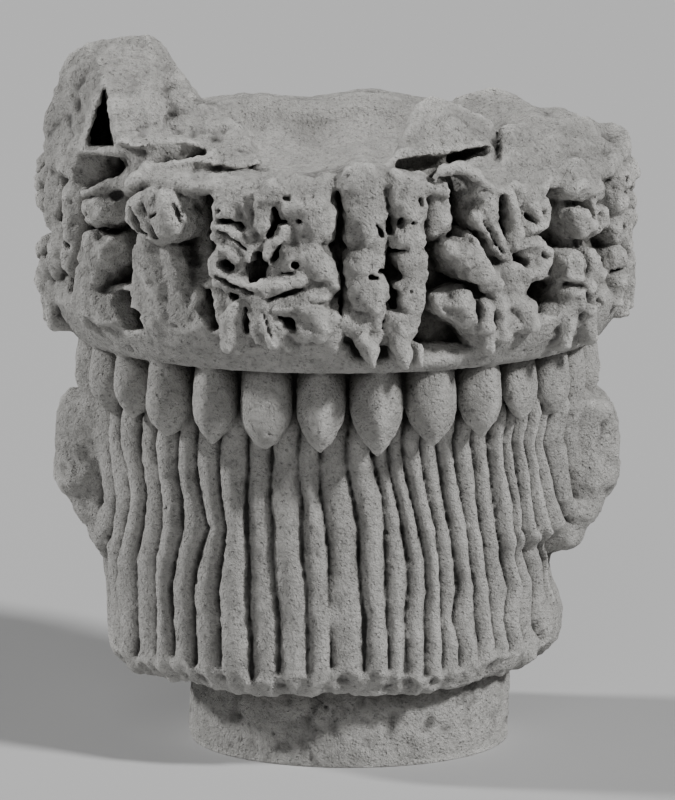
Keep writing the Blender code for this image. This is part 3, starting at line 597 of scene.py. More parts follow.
def far_left():
    """The plant worn down to knobs at the left edge, and the bare broken ground beside it."""
    patch([(76, 199), (90, 196), (101, 203), (104, 213), (99, 223), (90, 229), (78, 227)], face=0.302, dome=0.012)
    patch([(72, 232), (84, 236), (100, 240), (104, 256), (99, 271), (92, 286), (89, 291), (96, 303), (99, 312),
           (109, 322), (105, 331), (90, 331), (78, 322), (70, 310), (66, 288), (69, 262)], face=0.299, dome=0.014)
    drawn([(82, 244), (84, 262)], [10, 9], face=0.303, dome=0.008)
    drawn([(97, 250), (96, 266)], [10, 11], face=0.288, dome=0.008)
    drawn([(90, 296), (92, 308)], [11, 10], face=0.292, dome=0.009)
    drawn([(66, 196), (64, 232), (62, 262)], [15, 14, 13], face=0.300, dome=0.010)
    drawn([(52, 240), (46, 262)], [16, 15], face=0.300, dome=0.010)
    drawn([(46, 186), (44, 214)], [18, 17], face=0.301, dome=0.010)
    drawn([(80, 190), (104, 186), (128, 182)], [6, 7, 7], face=0.302, dome=0.005)
    drawn([(72, 300), (80, 318)], [12, 10], face=0.298, dome=0.009)
    drilled([(60, 243), (62, 247)], [4, 4], root=0.282)
    drilled([(38, 214)], [4], root=0.282)
    drilled([(50, 273), (56, 290)], [3.5, 5], root=0.276)
    drilled([(84, 214)], [2.4], root=0.286)
    patch([(100, 200), (112, 198), (118, 222), (128, 238), (112, 240), (92, 234), (90, 226), (100, 222)],
          root=0.250, cut=True)
    patch([(104, 240), (113, 256), (118, 274), (116, 288), (90, 289), (94, 276), (103, 262)], root=0.250, cut=True)
    patch([(97, 292), (114, 292), (120, 308), (134, 312), (134, 334), (112, 334), (104, 316)], root=0.252, cut=True)


def centre_left_plant():
    patch([(207, 184), (206, 200), (206, 236), (210, 244), (207, 252), (207, 272), (212, 286), (220, 298),
           (217, 320), (216, 338), (222, 352), (236, 354), (244, 345), (252, 348), (262, 352), (276, 357),
           (284, 344), (290, 342), (300, 348), (314, 345), (330, 337), (337, 328), (328, 308), (334, 296),
           (338, 276), (332, 256), (325, 247), (335, 232), (336, 206), (331, 184)], face=0.2945)
    # upper left curl and its two bands
    drawn([(222, 211)], [12.5], face=0.302, dome=0.008)
    drawn([(214, 198), (232, 200), (244, 212), (249, 234), (254, 256)], [4.5, 6, 6.5, 6, 5], face=0.297, dome=0.005)
    drawn([(213, 228), (232, 236), (248, 252), (252, 268)], [5.5, 6, 6, 4.5], face=0.301, dome=0.005)
    drawn([(212, 238), (230, 246), (244, 258)], [4.5, 5, 4], face=0.297, dome=0.005)
    drilled([(217, 221), (228, 223), (238, 228)], [2.6, 3, 2.4], root=0.280)
    drilled([(217, 212)], [2.2], root=0.288)
    drilled([(216, 232), (232, 240), (244, 250)], [1.6, 1.8, 1.6], root=0.290, blend=0.002)
    # lower left curl, rolled round its eye, and the double band that runs from it under the plant
    drawn([(232, 259), (226, 251), (217, 253), (212, 262), (213, 273), (224, 281), (240, 287), (262, 291)],
          [5, 6.5, 6.5, 6, 6.5, 7, 7.5, 8], face=0.303, dome=0.006)
    drawn([(214, 281), (232, 291), (254, 298)], [4.5, 5, 5], face=0.299, dome=0.005)
    drilled([(220, 266), (226, 268)], [4.6, 5], root=0.272)
    drilled([(214, 277), (232, 287), (252, 294)], [1.3, 1.5, 1.3], root=0.291, blend=0.002)
    # the deep hollow in the middle
    drilled([(257, 262), (258, 278)], [8, 7.5], root=0.262)
    drilled([(246, 268), (248, 282)], [4, 3.5], root=0.268)
    # upper lobe beside the slit, and the bright petal under it
    drawn([(262, 214), (262, 230)], [8.5, 8], face=0.303, dome=0.007)
    drawn([(264, 200), (272, 192)], [10, 11], face=0.303, dome=0.006)
    drawn([(284, 230), (272, 244), (265, 258)], [5.5, 8, 5], face=0.304, dome=0.008)
    drilled([(274, 210), (273, 224), (266, 237)], [3.6, 4.4, 3.2], root=0.266)
    drilled([(281, 224), (287, 224)], [2.6, 2.6], root=0.276)
    drilled([(279, 246), (270, 262)], [2.2, 3.2], root=0.276)
    # big upper right lobe
    drawn([(292, 200), (306, 206), (312, 226)], [17, 20, 17], face=0.304, dome=0.009)
    drawn([(292, 232), (304, 240)], [9, 10], face=0.298, dome=0.008)
    drawn([(326, 200), (326, 236)], [8, 8], face=0.292, dome=0.008)
    drilled([(299, 222)], [2.8], root=0.284)
    drilled([(284, 199), (288, 200)], [1.8, 1.8], root=0.294)
    # middle right lobe with its drilled eye
    drawn([(294, 262), (308, 260), (322, 270)], [13, 14.5, 11], face=0.304, dome=0.009)
    drawn([(330, 280), (334, 286)], [8, 6], face=0.296, dome=0.007)
    drilled([(295, 266)], [3.4], root=0.280)
    drilled([(281, 275), (292, 276)], [2.4, 2.8], root=0.280)
    # the calyx's right band and the leaf beneath it
    drawn([(262, 291), (282, 287), (302, 279)], [8, 7, 6], face=0.303, dome=0.006)
    drawn([(268, 306), (286, 301), (306, 299), (324, 299)], [4.5, 5, 5.5, 4], face=0.300, dome=0.005)
    drilled([(270, 300), (284, 295), (300, 290)], [1.5, 1.6, 1.4], root=0.288, blend=0.002)
    drawn([(274, 310), (296, 307), (314, 315), (326, 331)], [4, 7, 10, 5], face=0.303, dome=0.008)
    drawn([(302, 334), (318, 334)], [9.5, 9], face=0.302, dome=0.008)
    drilled([(277, 320), (288, 324), (292, 330)], [3.2, 5, 3], root=0.272)
    # petals that hang below the calyx
    drawn([(258, 300), (262, 322), (271, 346)], [7, 10.5, 4.5], face=0.303, dome=0.008)
    drawn([(252, 316), (256, 338)], [6, 6], face=0.300, dome=0.006)
    drawn([(234, 302), (225, 322), (224, 348)], [5, 8.5, 6], face=0.301, dome=0.007)
    drawn([(238, 326), (236, 350)], [6, 5], face=0.294, dome=0.006)
    drawn([(278, 326), (286, 348)], [6, 5], face=0.294, dome=0.006)
    drilled([(227, 297), (232, 299)], [4.2, 3.2], root=0.276)
    drilled([(242, 312), (243, 332)], [3.6, 3], root=0.276)
    drilled([(262, 312), (270, 338)], [1.2, 1.0], root=0.296, blend=0.002)


def centre_stack():
    """Two columns of worn knobs with a drilled line between them, over a pair of leaf tips."""
    patch([(344, 184), (345, 243), (352, 249), (347, 257), (346, 290), (350, 311), (368, 315), (376, 332), (362, 338),
           (370, 352), (384, 346), (390, 336), (388, 310), (388, 290), (384, 270), (390, 250), (390, 232), (385, 214),
           (388, 196), (382, 178)], face=0.2955)
    patch([(384, 175), (415, 169), (426, 180), (431, 200), (429, 230), (427, 245), (430, 262), (432, 280), (428, 305),
           (421, 322), (416, 342), (400, 346), (392, 336), (390, 320), (398, 312), (395, 296), (400, 282), (398, 262),
           (391, 250), (393, 234), (396, 222), (389, 210), (386, 195)], face=0.2955)
    patch([(428, 176), (452, 172), (456, 200), (456, 238), (445, 246), (430, 244)], face=0.285, dome=0.014)
    drawn([(362, 186), (366, 206)], [18, 17], face=0.300, dome=0.006)
    drawn([(368, 214), (371, 236)], [17, 15], face=0.302, dome=0.009)
    drawn([(366, 268), (369, 292), (378, 308)], [16.5, 18, 8], face=0.303, dome=0.009)
    drawn([(372, 316), (388, 334)], [11, 10], face=0.292, dome=0.008)
    drawn([(408, 184), (410, 196)], [14, 14], face=0.303, dome=0.006)
    drawn([(414, 208), (414, 218)], [14, 13], face=0.303, dome=0.008)
    drawn([(408, 238), (412, 242)], [14, 14], face=0.303, dome=0.008)
    drawn([(416, 262), (415, 272)], [13, 13], face=0.303, dome=0.008)
    drawn([(412, 290), (412, 302)], [14, 13], face=0.303, dome=0.008)
    drawn([(404, 322), (403, 332)], [13, 12], face=0.301, dome=0.008)
    drawn([(438, 196), (442, 226)], [12, 12], face=0.286, dome=0.008)
    drawn([(364, 340), (372, 354), (374, 367)], [7, 8, 3], face=0.302, dome=0.007, root=0.235)
    drawn([(402, 344), (405, 356), (408, 368)], [9, 9, 3], face=0.303, dome=0.007, root=0.235)
    drawn([(420, 350), (422, 366)], [5, 3], face=0.292, dome=0.006, root=0.235)
    drilled([(393, 220), (392, 232)], [3.6, 3.2], root=0.270)
    drilled([(404, 220), (402, 226)], [2.6, 2.4], root=0.282)
    drilled([(414, 223)], [2.6], root=0.284)
    drilled([(394, 253), (407, 252)], [3.6, 2.6], root=0.270)
    drilled([(392, 272), (397, 276)], [6, 6.5], root=0.264)
    drilled([(396, 296), (397, 310)], [4.2, 4.6], root=0.268)
    drilled([(370, 278), (378, 279)], [2.6, 1.8], root=0.286)
    drilled([(382, 273)], [2.8], root=0.280)
    drilled([(377, 226), (384, 238)], [1.8, 1.6], root=0.284)
    drilled([(386, 322), (384, 330)], [2.6, 2.2], root=0.276)
    drilled([(388, 362)], [9], root=0.276, blend=0.006)
    drilled([(412, 292)], [1.8], root=0.290)
    drilled([(422, 200), (423, 206)], [1.4, 1.4], root=0.288)


def right_plant():
    patch([(480, 190), (492, 184), (506, 190), (510, 214), (516, 240), (518, 264), (504, 264), (492, 246), (479, 222)],
          face=0.291)
    patch([(498, 262), (515, 268), (522, 246), (521, 215), (531, 200), (549, 196), (557, 212), (552, 230), (543, 238),
           (555, 254), (556, 268), (549, 277), (539, 284), (537, 296), (548, 314), (547, 326), (541, 337), (515, 339),
           (506, 343), (494, 350), (484, 335), (483, 300), (500, 297)], face=0.295)
    patch([(448, 251), (462, 243), (474, 241), (474, 235), (482, 238), (492, 254), (499, 266), (507, 280), (509, 300),
           (496, 292), (486, 281), (474, 280), (463, 272)], face=0.302, dome=0.014)
    patch([(446, 308), (460, 299), (475, 294), (484, 301), (484, 327), (470, 322), (460, 315)], face=0.301, dome=0.014)
    patch([(497, 176), (558, 172), (553, 197), (532, 203), (524, 214), (516, 196), (506, 186)], face=0.298)
    # the arched ring and the bud that it shelters
    drawn([(440, 173), (458, 167), (474, 172), (486, 182)], [5, 5, 5.5, 6], face=0.302, dome=0.005)
    drawn([(486, 184), (503, 187), (513, 197), (518, 212), (521, 230), (519, 246)], [6, 5.5, 5, 5, 5.5, 7],
          face=0.302, dome=0.005)
    drawn([(493, 200), (492, 212)], [12, 11], face=0.300, dome=0.008)
    drawn([(480, 218), (488, 232), (505, 256)], [5.5, 5, 4.5], face=0.299, dome=0.005)
    drawn([(493, 222), (502, 238), (512, 258)], [4.5, 4.5, 4.5], face=0.299, dome=0.005)
    drilled([(508, 198), (511, 214), (512, 232)], [3.4, 4, 3.2], root=0.276)
    drilled([(487, 222), (497, 238), (507, 254)], [1.5, 1.8, 1.4], root=0.284, blend=0.002)
    # the broad leaf that rises to the left
    drawn([(456, 251), (470, 258), (486, 270), (502, 285)], [8, 13, 12, 8], face=0.303, dome=0.008)
    drawn([(476, 240), (484, 252)], [3.5, 6], face=0.302, dome=0.006)
    drilled([(484, 236), (492, 252), (497, 266)], [4.5, 5, 3.5], root=0.270)
    drilled([(474, 269)], [1.6], root=0.290)
    drawn([(490, 288), (505, 300)], [5, 5], face=0.299, dome=0.005)
    # body, the two curls on the right and what joins them
    drawn([(512, 272), (520, 292)], [13, 14], face=0.296, dome=0.008)
    drawn([(530, 236), (526, 246)], [10, 9], face=0.297, dome=0.007)
    drawn([(536, 204), (545, 202), (551, 212), (546, 224), (534, 229)], [6.5, 7, 7, 7, 6.5], face=0.303, dome=0.006)
    drawn([(541, 213)], [6], face=0.303, dome=0.006)
    drawn([(528, 246), (540, 245), (550, 256), (546, 270), (534, 276)], [6, 7, 7, 7, 7], face=0.303, dome=0.006)
    drawn([(543, 262)], [5.5], face=0.299, dome=0.006)
    drawn([(549, 184), (546, 192)], [6, 5], face=0.301, dome=0.005)
    drilled([(543, 212), (546, 213)], [2.4, 2.2], root=0.282)
    drilled([(532, 216), (539, 223)], [2.6, 2.6], root=0.278)
    drilled([(546, 254), (549, 257)], [2.4, 2.2], root=0.282)
    drilled([(524, 258), (532, 264)], [5, 5], root=0.268)
    # petals below
    drawn([(468, 304), (474, 318)], [10, 9], face=0.301, dome=0.008)
    drawn([(490, 308), (491, 328)], [8, 8], face=0.302, dome=0.007)
    drawn([(506, 306), (508, 334)], [9, 9], face=0.300, dome=0.007)
    drawn([(524, 302), (534, 314), (538, 326)], [10, 12, 8], face=0.304, dome=0.009)
    drawn([(492, 336), (494, 352)], [7, 4], face=0.298, dome=0.007, root=0.235)
    drilled([(483, 304), (484, 322)], [1.8, 1.8], root=0.282)
    drilled([(520, 312), (526, 322)], [1.2, 1.0], root=0.294, blend=0.002)
    drilled([(499, 314), (500, 330)], [1.6, 1.6], root=0.286)


def right_stack():
    """The two flowers that are left whole on the right, and the worn pair beyond them."""
    stroke([from_photo(548, 265, FACE), from_photo(584, 265, FACE)], [0.010, 0.012], face=0.274, dome=0.010)
    stroke([from_photo(594, 230, FACE), from_photo(594, 266, FACE)], [0.016, 0.016], face=0.282, dome=0.010)
    patch([(576, 181), (585, 171), (598, 168), (609, 177), (613, 196), (610, 208), (617, 215), (614, 229), (606, 236),
           (597, 242), (590, 239), (584, 228), (581, 210), (577, 196)], face=0.3005, dome=0.008, slope=0.0)
    patch([(578, 280), (581, 263), (586, 254), (593, 250), (604, 257), (611, 270), (612, 284), (615, 295), (608, 306),
           (606, 316), (595, 318), (586, 311), (580, 300)], face=0.3005, dome=0.008, slope=0.0)
    for knots, sizes in (
        ([(583, 187), (602, 186)], [12.5, 12.5]), ([(588, 214), (592, 229)], [11.5, 10.5]), ([(597, 227)], [10]),
        ([(608, 212), (608, 222)], [9, 9]), ([(584, 264), (583, 279)], [11, 10.5]), ([(599, 263), (604, 276)], [12, 11.5]),
        ([(583, 294), (587, 304)], [10, 9]), ([(607, 294), (603, 304)], [9, 8.5]), ([(596, 309)], [9]),
    ):
        drawn(knots, sizes, face=0.305, dome=0.009, blend=0.002)
    drawn([(594.5, 288)], [7.5], face=0.307, dome=0.006, blend=0.002)
    drilled([(591, 205), (597, 218)], [3.6, 4.6], root=0.268)
    drilled([(599, 204), (613, 201)], [2.0, 3.4], root=0.284)
    drilled([(578, 206), (590, 204)], [3.2, 2.0], root=0.284)
    drilled([(602, 218), (600, 238)], [2.2, 3.2], root=0.284)
    drilled([(592, 250), (591, 277)], [3.4, 2.0], root=0.284)
    drilled([(575, 286), (587, 287)], [3.6, 2.0], root=0.284)
    drilled([(602, 286), (615, 284)], [2.0, 3.4], root=0.284)
    drilled([(588, 296), (597, 303)], [3.6, 3.0], root=0.276)
    drilled([(600, 300), (605, 314)], [1.8, 3.0], root=0.284)
    drilled([(586, 270), (588, 280)], [2.2, 2.2], root=0.280)
    high = from_photo(594, 206, FACE)[0]
    rosette(high + 19.0, 0.497, 0.031, 5, 10.0)
    rosette(high + 19.0, 0.566, 0.030, 5, 40.0)
    leaf_tips(high - 1.0)


def frieze():
    """The carving that the photograph shows, then plainer plants and rosettes round the hidden side."""
    niches()
    far_left()
    left_stack()
    centre_left_plant()
    centre_stack()
    right_plant()
    right_stack()
    for count in range(7, 16):
        turn = 360.0 * count / 16 - 80.0
        azimuth = turn + 1.8 * math.sin(math.radians(turn))
        if count % 2:
            plain_plant(azimuth)
        else:
            rosettes(azimuth)
    rosettes(-80.0 - 1.8)


def hanging_eggs():
    shown = {  # azimuth step: half width, tip, how proud, section, bluntness
        -5: (0.0235, 0.350, 0.95, 1.7, 2.6), -4: (0.0215, 0.352, 1.0, 1.6, 2.4), -3: (0.0240, 0.342, 1.1, 1.7, 3.2),
        -2: (0.0235, 0.340, 1.0, 1.6, 2.6), -1: (0.0255, 0.338, 0.8, 2.0, 2.8), 0: (0.0240, 0.336, 1.0, 1.4, 2.2),
        1: (0.0262, 0.332, 1.1, 1.4, 1.9), 2: (0.0262, 0.340, 1.05, 1.7, 2.3), 3: (0.0245, 0.346, 1.0, 1.5, 2.4),
        4: (0.0215, 0.354, 0.55, 2.2, 2.6), 5: (0.0240, 0.352, 0.8, 1.8, 2.6), 6: (0.0215, 0.350, 0.7, 1.8, 2.4),
    }
    for count in range(28):
        signed = count if count <= 14 else count - 28
        plain = (0.0238, 0.344 + 0.003 * math.sin(count * 2.2), 1.0, 1.6, 2.4)
        egg(-3.5 + 360.0 * count / 28, *shown.get(signed, plain))


def side_leaves():
    for side in (-1, 1):
        corners = [(side * (BELL_WAIST_RADIUS + out), across * edge, z) for out, across, z in LEAF_CORNERS for edge in (-1, 1)]
        block(corners, 0.012, 0.010)
        for out, z, half in LEAF_LOBES:
            ball((side * (BELL_WAIST_RADIUS + out), 0.0, z), (0.044, half, half * 0.85), side * 90.0, 0.014)
    ball(bell_point(94.0, BELL_WAIST_RADIUS - 0.010, 0.124), (0.050, 0.028, 0.042), 94.0, 0.016)


def on_rim(corner):
    return corner[0], corner[1], RIM_Z + corner[2]


def breaks():
    for corners in (STUMP, SHOULDER, MIDDLE_LUMP, RIGHT_SLAB, BACK_LUMP):
        block([on_rim(corner) for corner in corners])
    for x, y, up, size in LOST_PIECES:
        ball((x, y, RIM_Z + up), (size, size, size), 0.0, 0.010, True)
    # the facet that slopes from the right-hand slab down to the carving
    away = np.abs(flat_turn - 40.0)
    columns = np.nonzero((away < 15.0) & (flat_r > 0.2))[0]
    rows = levels(0.57, 0.70)
    facet = (flat_r[columns][None, :] - 0.298) * 0.617 + (axis_z[rows][:, None] - 0.596) * 0.787
    facet = facet - 0.03 * smoothstep(9.0, 14.0, away[columns])[None, :]
    field[rows, columns] = soft_max(field[rows][:, columns], facet, 0.004)
    # the two smooth facets of the stump
    for outline, low, near, far in (
        (((109, 62), (121, 46), (150, 37), (160, 42), (179, 70), (198, 98), (186, 103), (150, 114), (122, 142), (110, 132)),
         145, -0.212, 0.100 / 107),
        (((116, 143), (126, 122), (150, 110), (186, 100), (214, 103), (238, 124), (255, 149), (262, 164), (235, 169),
          (200, 163), (150, 154)), 168, -0.246, 0.075 / 65),
    ):
        front = [seen_at(x, y, near + (low - y) * far) for x, y in outline]
        back = [seen_at(x, y, near + (low - y) * far + 0.105) for x, y in outline]
        block(front + back, 0.002, 0.0015)
    # the crack beside them, the slot under the middle lump and the broken ground at the left
    knocked_out([(106, 72), (98, 98), (82, 146), (84, 156), (122, 156), (114, 122), (109, 92)], -0.070, shrink=0.75,
                blend=0.002)
    knocked_out([(58, 150), (72, 145), (96, 146), (128, 148), (138, 162), (130, 180), (92, 187), (78, 199), (60, 190)],
                -0.140, shrink=0.75, blend=0.003)
    knocked_out([(124, 148), (150, 142), (186, 139), (212, 149), (214, 158), (190, 164), (150, 168), (126, 162)],
                -0.212, shrink=0.85, blend=0.002)
    knocked_out([(383, 170), (390, 157), (437, 150), (470, 147), (472, 158), (441, 170), (415, 178), (396, 172)],
                -0.200, shrink=0.8, blend=0.002)
    knocked_out([(440, 151), (494, 143), (500, 150), (472, 163), (442, 168)], -0.186, shrink=0.85, blend=0.002)
    knocked_out([(410, 165), (446, 158), (438, 186), (424, 184)], -0.215, shrink=0.6, blend=0.002)


# ---------------------------------------------------------------- from the grid to a mesh

def net():
    """The zero surface of the field as points and quads (a surface net)."""
    grid = field.reshape(nz, ny, nx)
    inside = grid < 0.0
    total = np.zeros((nz - 1, ny - 1, nx - 1), dtype=np.uint8)
    for dz in (0, 1):
        for dy in (0, 1):
            for dx in (0, 1):
                total += inside[dz:nz - 1 + dz, dy:ny - 1 + dy, dx:nx - 1 + dx]
    k, j, i = np.nonzero((total > 0) & (total < 8))
    numbers = np.full(total.shape, -1, dtype=np.int32)
    numbers[k, j, i] = np.arange(len(k), dtype=np.int32)
    del total
    values = {}
    for dz in (0, 1):
        for dy in (0, 1):
            for dx in (0, 1):
                values[dz, dy, dx] = grid[k + dz, j + dy, i + dx].astype(np.float64)
    summed = np.zeros((len(k), 3))
    crossings = np.zeros(len(k))
    for axis in range(3):
        for first in ((0, 0), (0, 1), (1, 0), (1, 1)):
            low = list(first)
            low.insert(axis, 0)
            high = list(low)
            high[axis] = 1
            a, b = values[tuple(low)], values[tuple(high)]
            crosses = (a < 0.0) != (b < 0.0)
            share = np.where(crosses, a / np.where(crosses, a - b, 1.0), 0.0)
            for column in range(3):
                summed[:, column] += np.where(crosses, share if column == axis else low[column], 0.0)
            crossings += crosses
    place = summed / crossings[:, None]
    points = np.stack((i + place[:, 2], j + place[:, 1], k + place[:, 0]), axis=1) * STEP + np.array(LOW)
    quads = []
    for axis in range(3):
        here = [slice(1, -1)] * 3
        here[axis] = slice(0, -1)
        there = list(here)
        there[axis] = slice(1, None)
        a, b = inside[tuple(here)], inside[tuple(there)]
        cells = np.stack(np.nonzero(a != b), axis=1)
        outward = a[cells[:, 0], cells[:, 1], cells[:, 2]]
        for other in range(3):
            if other != axis:
                cells[:, other] += 1
        one, two = [(1, 2), (2, 0), (0, 1)][axis]
        corners = []
        for back_one, back_two in ((1, 1), (0, 1), (0, 0), (1, 0)):
            cell = cells.copy()
            cell[:, one] -= back_one
            cell[:, two] -= back_two
            corners.append(numbers[cell[:, 0], cell[:, 1], cell[:, 2]])
        quad = np.stack(corners, axis=1)
        quad[outward] = quad[outward]
        quad[~outward] = quad[~outward][:, ::-1]
        # The grid's axes run z, y, x, which turns every face over.
        quads.append(quad[:, ::-1])
    return points, np.concatenate(quads)


def as_mesh(name, points, quads):
    mesh = bpy.data.meshes.new(name)
    mesh.vertices.add(len(points))
    mesh.vertices.foreach_set("co", points.astype(np.float32).ravel())
    mesh.loops.add(quads.size)
    mesh.loops.foreach_set("vertex_index", quads.astype(np.int32).ravel())
    mesh.polygons.add(len(quads))
    mesh.polygons.foreach_set("loop_start", np.arange(0, quads.size, quads.shape[1], dtype=np.int32))
    mesh.update(calc_edges=True)
    mesh.validate()
    return mesh


def vertex_values(mesh, name):
    values = np.empty(len(mesh.vertices) * 3, dtype=np.float32)
    if name == "normal":
        mesh.vertex_normals.foreach_get("vector", values)
    else:
        mesh.vertices.foreach_get(name, values)
    return values.reshape(-1, 3).astype(np.float64)


def weather(mesh):
    """Moves the skin in and out: rough on the breaks, finely pitted on the dressed faces."""
    points, normals = vertex_values(mesh, "co"), vertex_values(mesh, "normal")
    x, y, z = points.T
    radius = np.hypot(x, y)
    turn = np.degrees(np.arctan2(x, -y))
    bowl = smoothstep(0.235, 0.215, radius) * smoothstep(0.54, 0.56, z) * smoothstep(0.640, 0.625, z)
    broken = np.clip(smoothstep(0.618, 0.632, z - RIM_TILT * y), 0.0, 1.0) * (1.0 - bowl)
    facets = smoothstep(-0.246, -0.228, x) * smoothstep(-0.066, -0.086, x) * smoothstep(0.634, 0.648, z)
    facets += smoothstep(0.150, 0.165, x) * smoothstep(-0.04, -0.08, y) * smoothstep(0.655, 0.640, z)
    broken *= 1.0 - 0.75 * facets
    foot = smoothstep(0.125, 0.092, z) * (0.45 + 0.55 * smoothstep(0.075, 0.09, z))
    sides = smoothstep(0.246, 0.262, np.abs(x)) * smoothstep(0.40, 0.37, z)
    rough = np.clip(np.maximum.reduce((broken, foot, sides * 0.7)), 0.0, 1.0)
    ribs = smoothstep(0.40, 0.36, z) * (1.0 - rough)
    carved = smoothstep(0.43, 0.46, z) * (1.0 - rough) * (1.0 - bowl)
    large = wave_noise(points, 0.046, 1)
    middle = wave_noise(points, 0.020, 2)
    small = wave_noise(points, 0.0095, 3)
    fine = wave_noise(points, 0.0052, 4)
    ridged = 1.0 - np.abs(middle) * 2.2
    shown = 0.35 + 0.65 * smoothstep(0.08, -0.02, y)
    move = rough * (0.0046 * large + 0.0034 * middle + 0.0028 * shown * small + 0.0026 * (ridged - 0.6))
    move += ribs * (0.0010 * large + 0.0012 * middle + 0.0013 * shown * small)
    move += carved * (0.0016 * large + 0.0032 * middle + 0.0034 * shown * small)
    move += shown * (1.0 - bowl * 0.6) * (0.0010 + 0.0010 * carved + 0.0006 * rough) * fine
    pits = wave_noise(points, 0.0075, 7)
    move -= (0.0030 * smoothstep(0.36, 0.70, pits)) * (1.0 - 0.7 * bowl)
    move *= smoothstep(0.002, 0.010, z)
    points += normals * move[:, None]
    points[:, 2] = np.maximum(points[:, 2], 0.0)
    mesh.vertices.foreach_set("co", points.astype(np.float32).ravel())
    mesh.update()


def thinned(mesh, triangles):
    obj = bpy.data.objects.new("skin", mesh)
    bpy.context.scene.collection.objects.link(obj)
    thin = obj.modifiers.new("Thin", "DECIMATE")
    thin.ratio = min(1.0, triangles / (2.0 * len(mesh.polygons)))
    bpy.context.view_layer.update()
    made = bpy.data.meshes.new_from_object(obj.evaluated_get(bpy.context.evaluated_depsgraph_get()))
    bpy.data.objects.remove(obj)
    return made


def crowding(points, every):
    """How much stone stands round each point: about a half on a flat face, more in a hollow, less on an edge."""
    grid = (field.reshape(nz, ny, nx)[::every, ::every, ::every] < 0.0).astype(np.float32)
    for _ in range(3):
        for axis in range(3):
            grid = (np.roll(grid, 1, axis) + grid + np.roll(grid, -1, axis)) / 3.0
    place = (points - np.array(LOW)) / (every * STEP)
    cell = np.clip(np.floor(place).astype(np.int32), 0, np.array(grid.shape[::-1]) - 2)
    part = place - cell
    total = np.zeros(len(points))
    for corner in range(8):
        step = np.array((corner & 1, corner >> 1 & 1, corner >> 2 & 1))
        weight = np.where(step == 1, part, 1.0 - part).prod(axis=1)
        at_corner = cell + step
        total += weight * grid[at_corner[:, 2], at_corner[:, 1], at_corner[:, 0]]
    return total


# ---------------------------------------------------------------- looks

def node(tree, kind, **settings):
    made = tree.nodes.new(kind)
    for name, value in settings.items():
        if name.startswith("in_"):
            made.inputs[name[3:].replace("_", " ")].default_value = value
        else:
            setattr(made, name, value)
    return made


def mixed(tree, share, a, b, blend="MIX"):
    made = tree.nodes.new("ShaderNodeMix")
    made.data_type = "RGBA"
    made.blend_type = blend
    for socket, value in ((made.inputs[0], share), (made.inputs[6], a), (made.inputs[7], b)):
        if isinstance(value, (float, int, tuple)):
            socket.default_value = value
        else:
            tree.links.new(value, socket)
    return made.outputs[2]


def ramp(tree, value, low, high):
    made = tree.nodes.new("ShaderNodeMapRange")
    made.inputs["From Min"].default_value = low
    made.inputs["From Max"].default_value = high
    tree.links.new(value, made.inputs["Value"])
    return made.outputs["Result"]


def limestone():
    material = bpy.data.materials.new("limestone")
    material.use_nodes = True
    tree = material.node_tree
    shader = tree.nodes["Principled BSDF"]
    shader.inputs["Roughness"].default_value = 0.92
    shader.inputs["Specular IOR Level"].default_value = 0.25
    place = tree.nodes.new("ShaderNodeTexCoord").outputs["Object"]

    def cloud(scale, detail, rough=0.6):
        made = node(tree, "ShaderNodeTexNoise", in_Scale=scale, in_Detail=detail, in_Roughness=rough)
        tree.links.new(place, made.inputs["Vector"])
        return made.outputs["Fac"]

    crowd = tree.nodes.new("ShaderNodeAttribute")
    crowd.attribute_name = "crowding"
    painted_shade_shelter = tree.nodes.new("ShaderNodeAttribute")
    painted_shade_shelter.attribute_name = "painted_shade_shelter"
    # Painted shade: where the crowding measure is high (hollows, creases, drill holes) the colour below is pushed to
    # near black, standing in for the shade that falls there
    hollow = ramp(tree, crowd.outputs["Fac"], 0.55, 0.74)
    edge = ramp(tree, crowd.outputs["Fac"], 0.44, 0.26)
    colour = mixed(tree, ramp(tree, cloud(9.0, 4.0), 0.35, 0.68), (0.40, 0.392, 0.375, 1.0), (0.50, 0.49, 0.47, 1.0))
    colour = mixed(tree, ramp(tree, cloud(46.0, 5.0), 0.45, 0.72), colour, (0.33, 0.325, 0.31, 1.0))
    colour = mixed(tree, ramp(tree, cloud(210.0, 3.0), 0.52, 0.80), colour, (0.22, 0.216, 0.208, 1.0))
    colour = mixed(tree, edge, colour, (0.60, 0.59, 0.565, 1.0))
    # painted shade: near-black colour in the hollows
    colour = mixed(tree, hollow, colour, (0.085, 0.083, 0.079, 1.0))
    # Painted shade: the wider shelter measure multiplies the colour darker in the niches between the stacks and under
    # the drum's overhang, where shade falls
    deep = ramp(tree, painted_shade_shelter.outputs["Fac"], 0.53, 0.73)
    colour = mixed(tree, deep, colour, (0.34, 0.335, 0.32, 1.0), "MULTIPLY")
    tree.links.new(colour, shader.inputs["Base Color"])
    coarse = node(tree, "ShaderNodeBump", in_Strength=0.8, in_Distance=0.0060)
    tree.links.new(cloud(110.0, 5.0, 0.62), coarse.inputs["Height"])
    grain = node(tree, "ShaderNodeBump", in_Strength=1.0, in_Distance=0.0038)
    tree.links.new(cloud(360.0, 4.0, 0.65), grain.inputs["Height"])
    tree.links.new(coarse.outputs["Normal"], grain.inputs["Normal"])
    pits = node(tree, "ShaderNodeTexVoronoi", in_Scale=210.0)
    tree.links.new(place, pits.inputs["Vector"])
    dents = node(tree, "ShaderNodeBump", in_Strength=0.7, in_Distance=0.0030)
    tree.links.new(ramp(tree, pits.outputs["Distance"], 0.0, 0.35), dents.inputs["Height"])
    tree.links.new(grain.outputs["Normal"], dents.inputs["Normal"])
    tree.links.new(dents.outputs["Normal"], shader.inputs["Normal"])
    return material


def plain(name, colour, rough):
    material = bpy.data.materials.new(name)
    material.use_nodes = True
    shader = material.node_tree.nodes["Principled BSDF"]
    shader.inputs["Base Color"].default_value = (*colour, 1.0)
    shader.inputs["Roughness"].default_value = rough
    return material


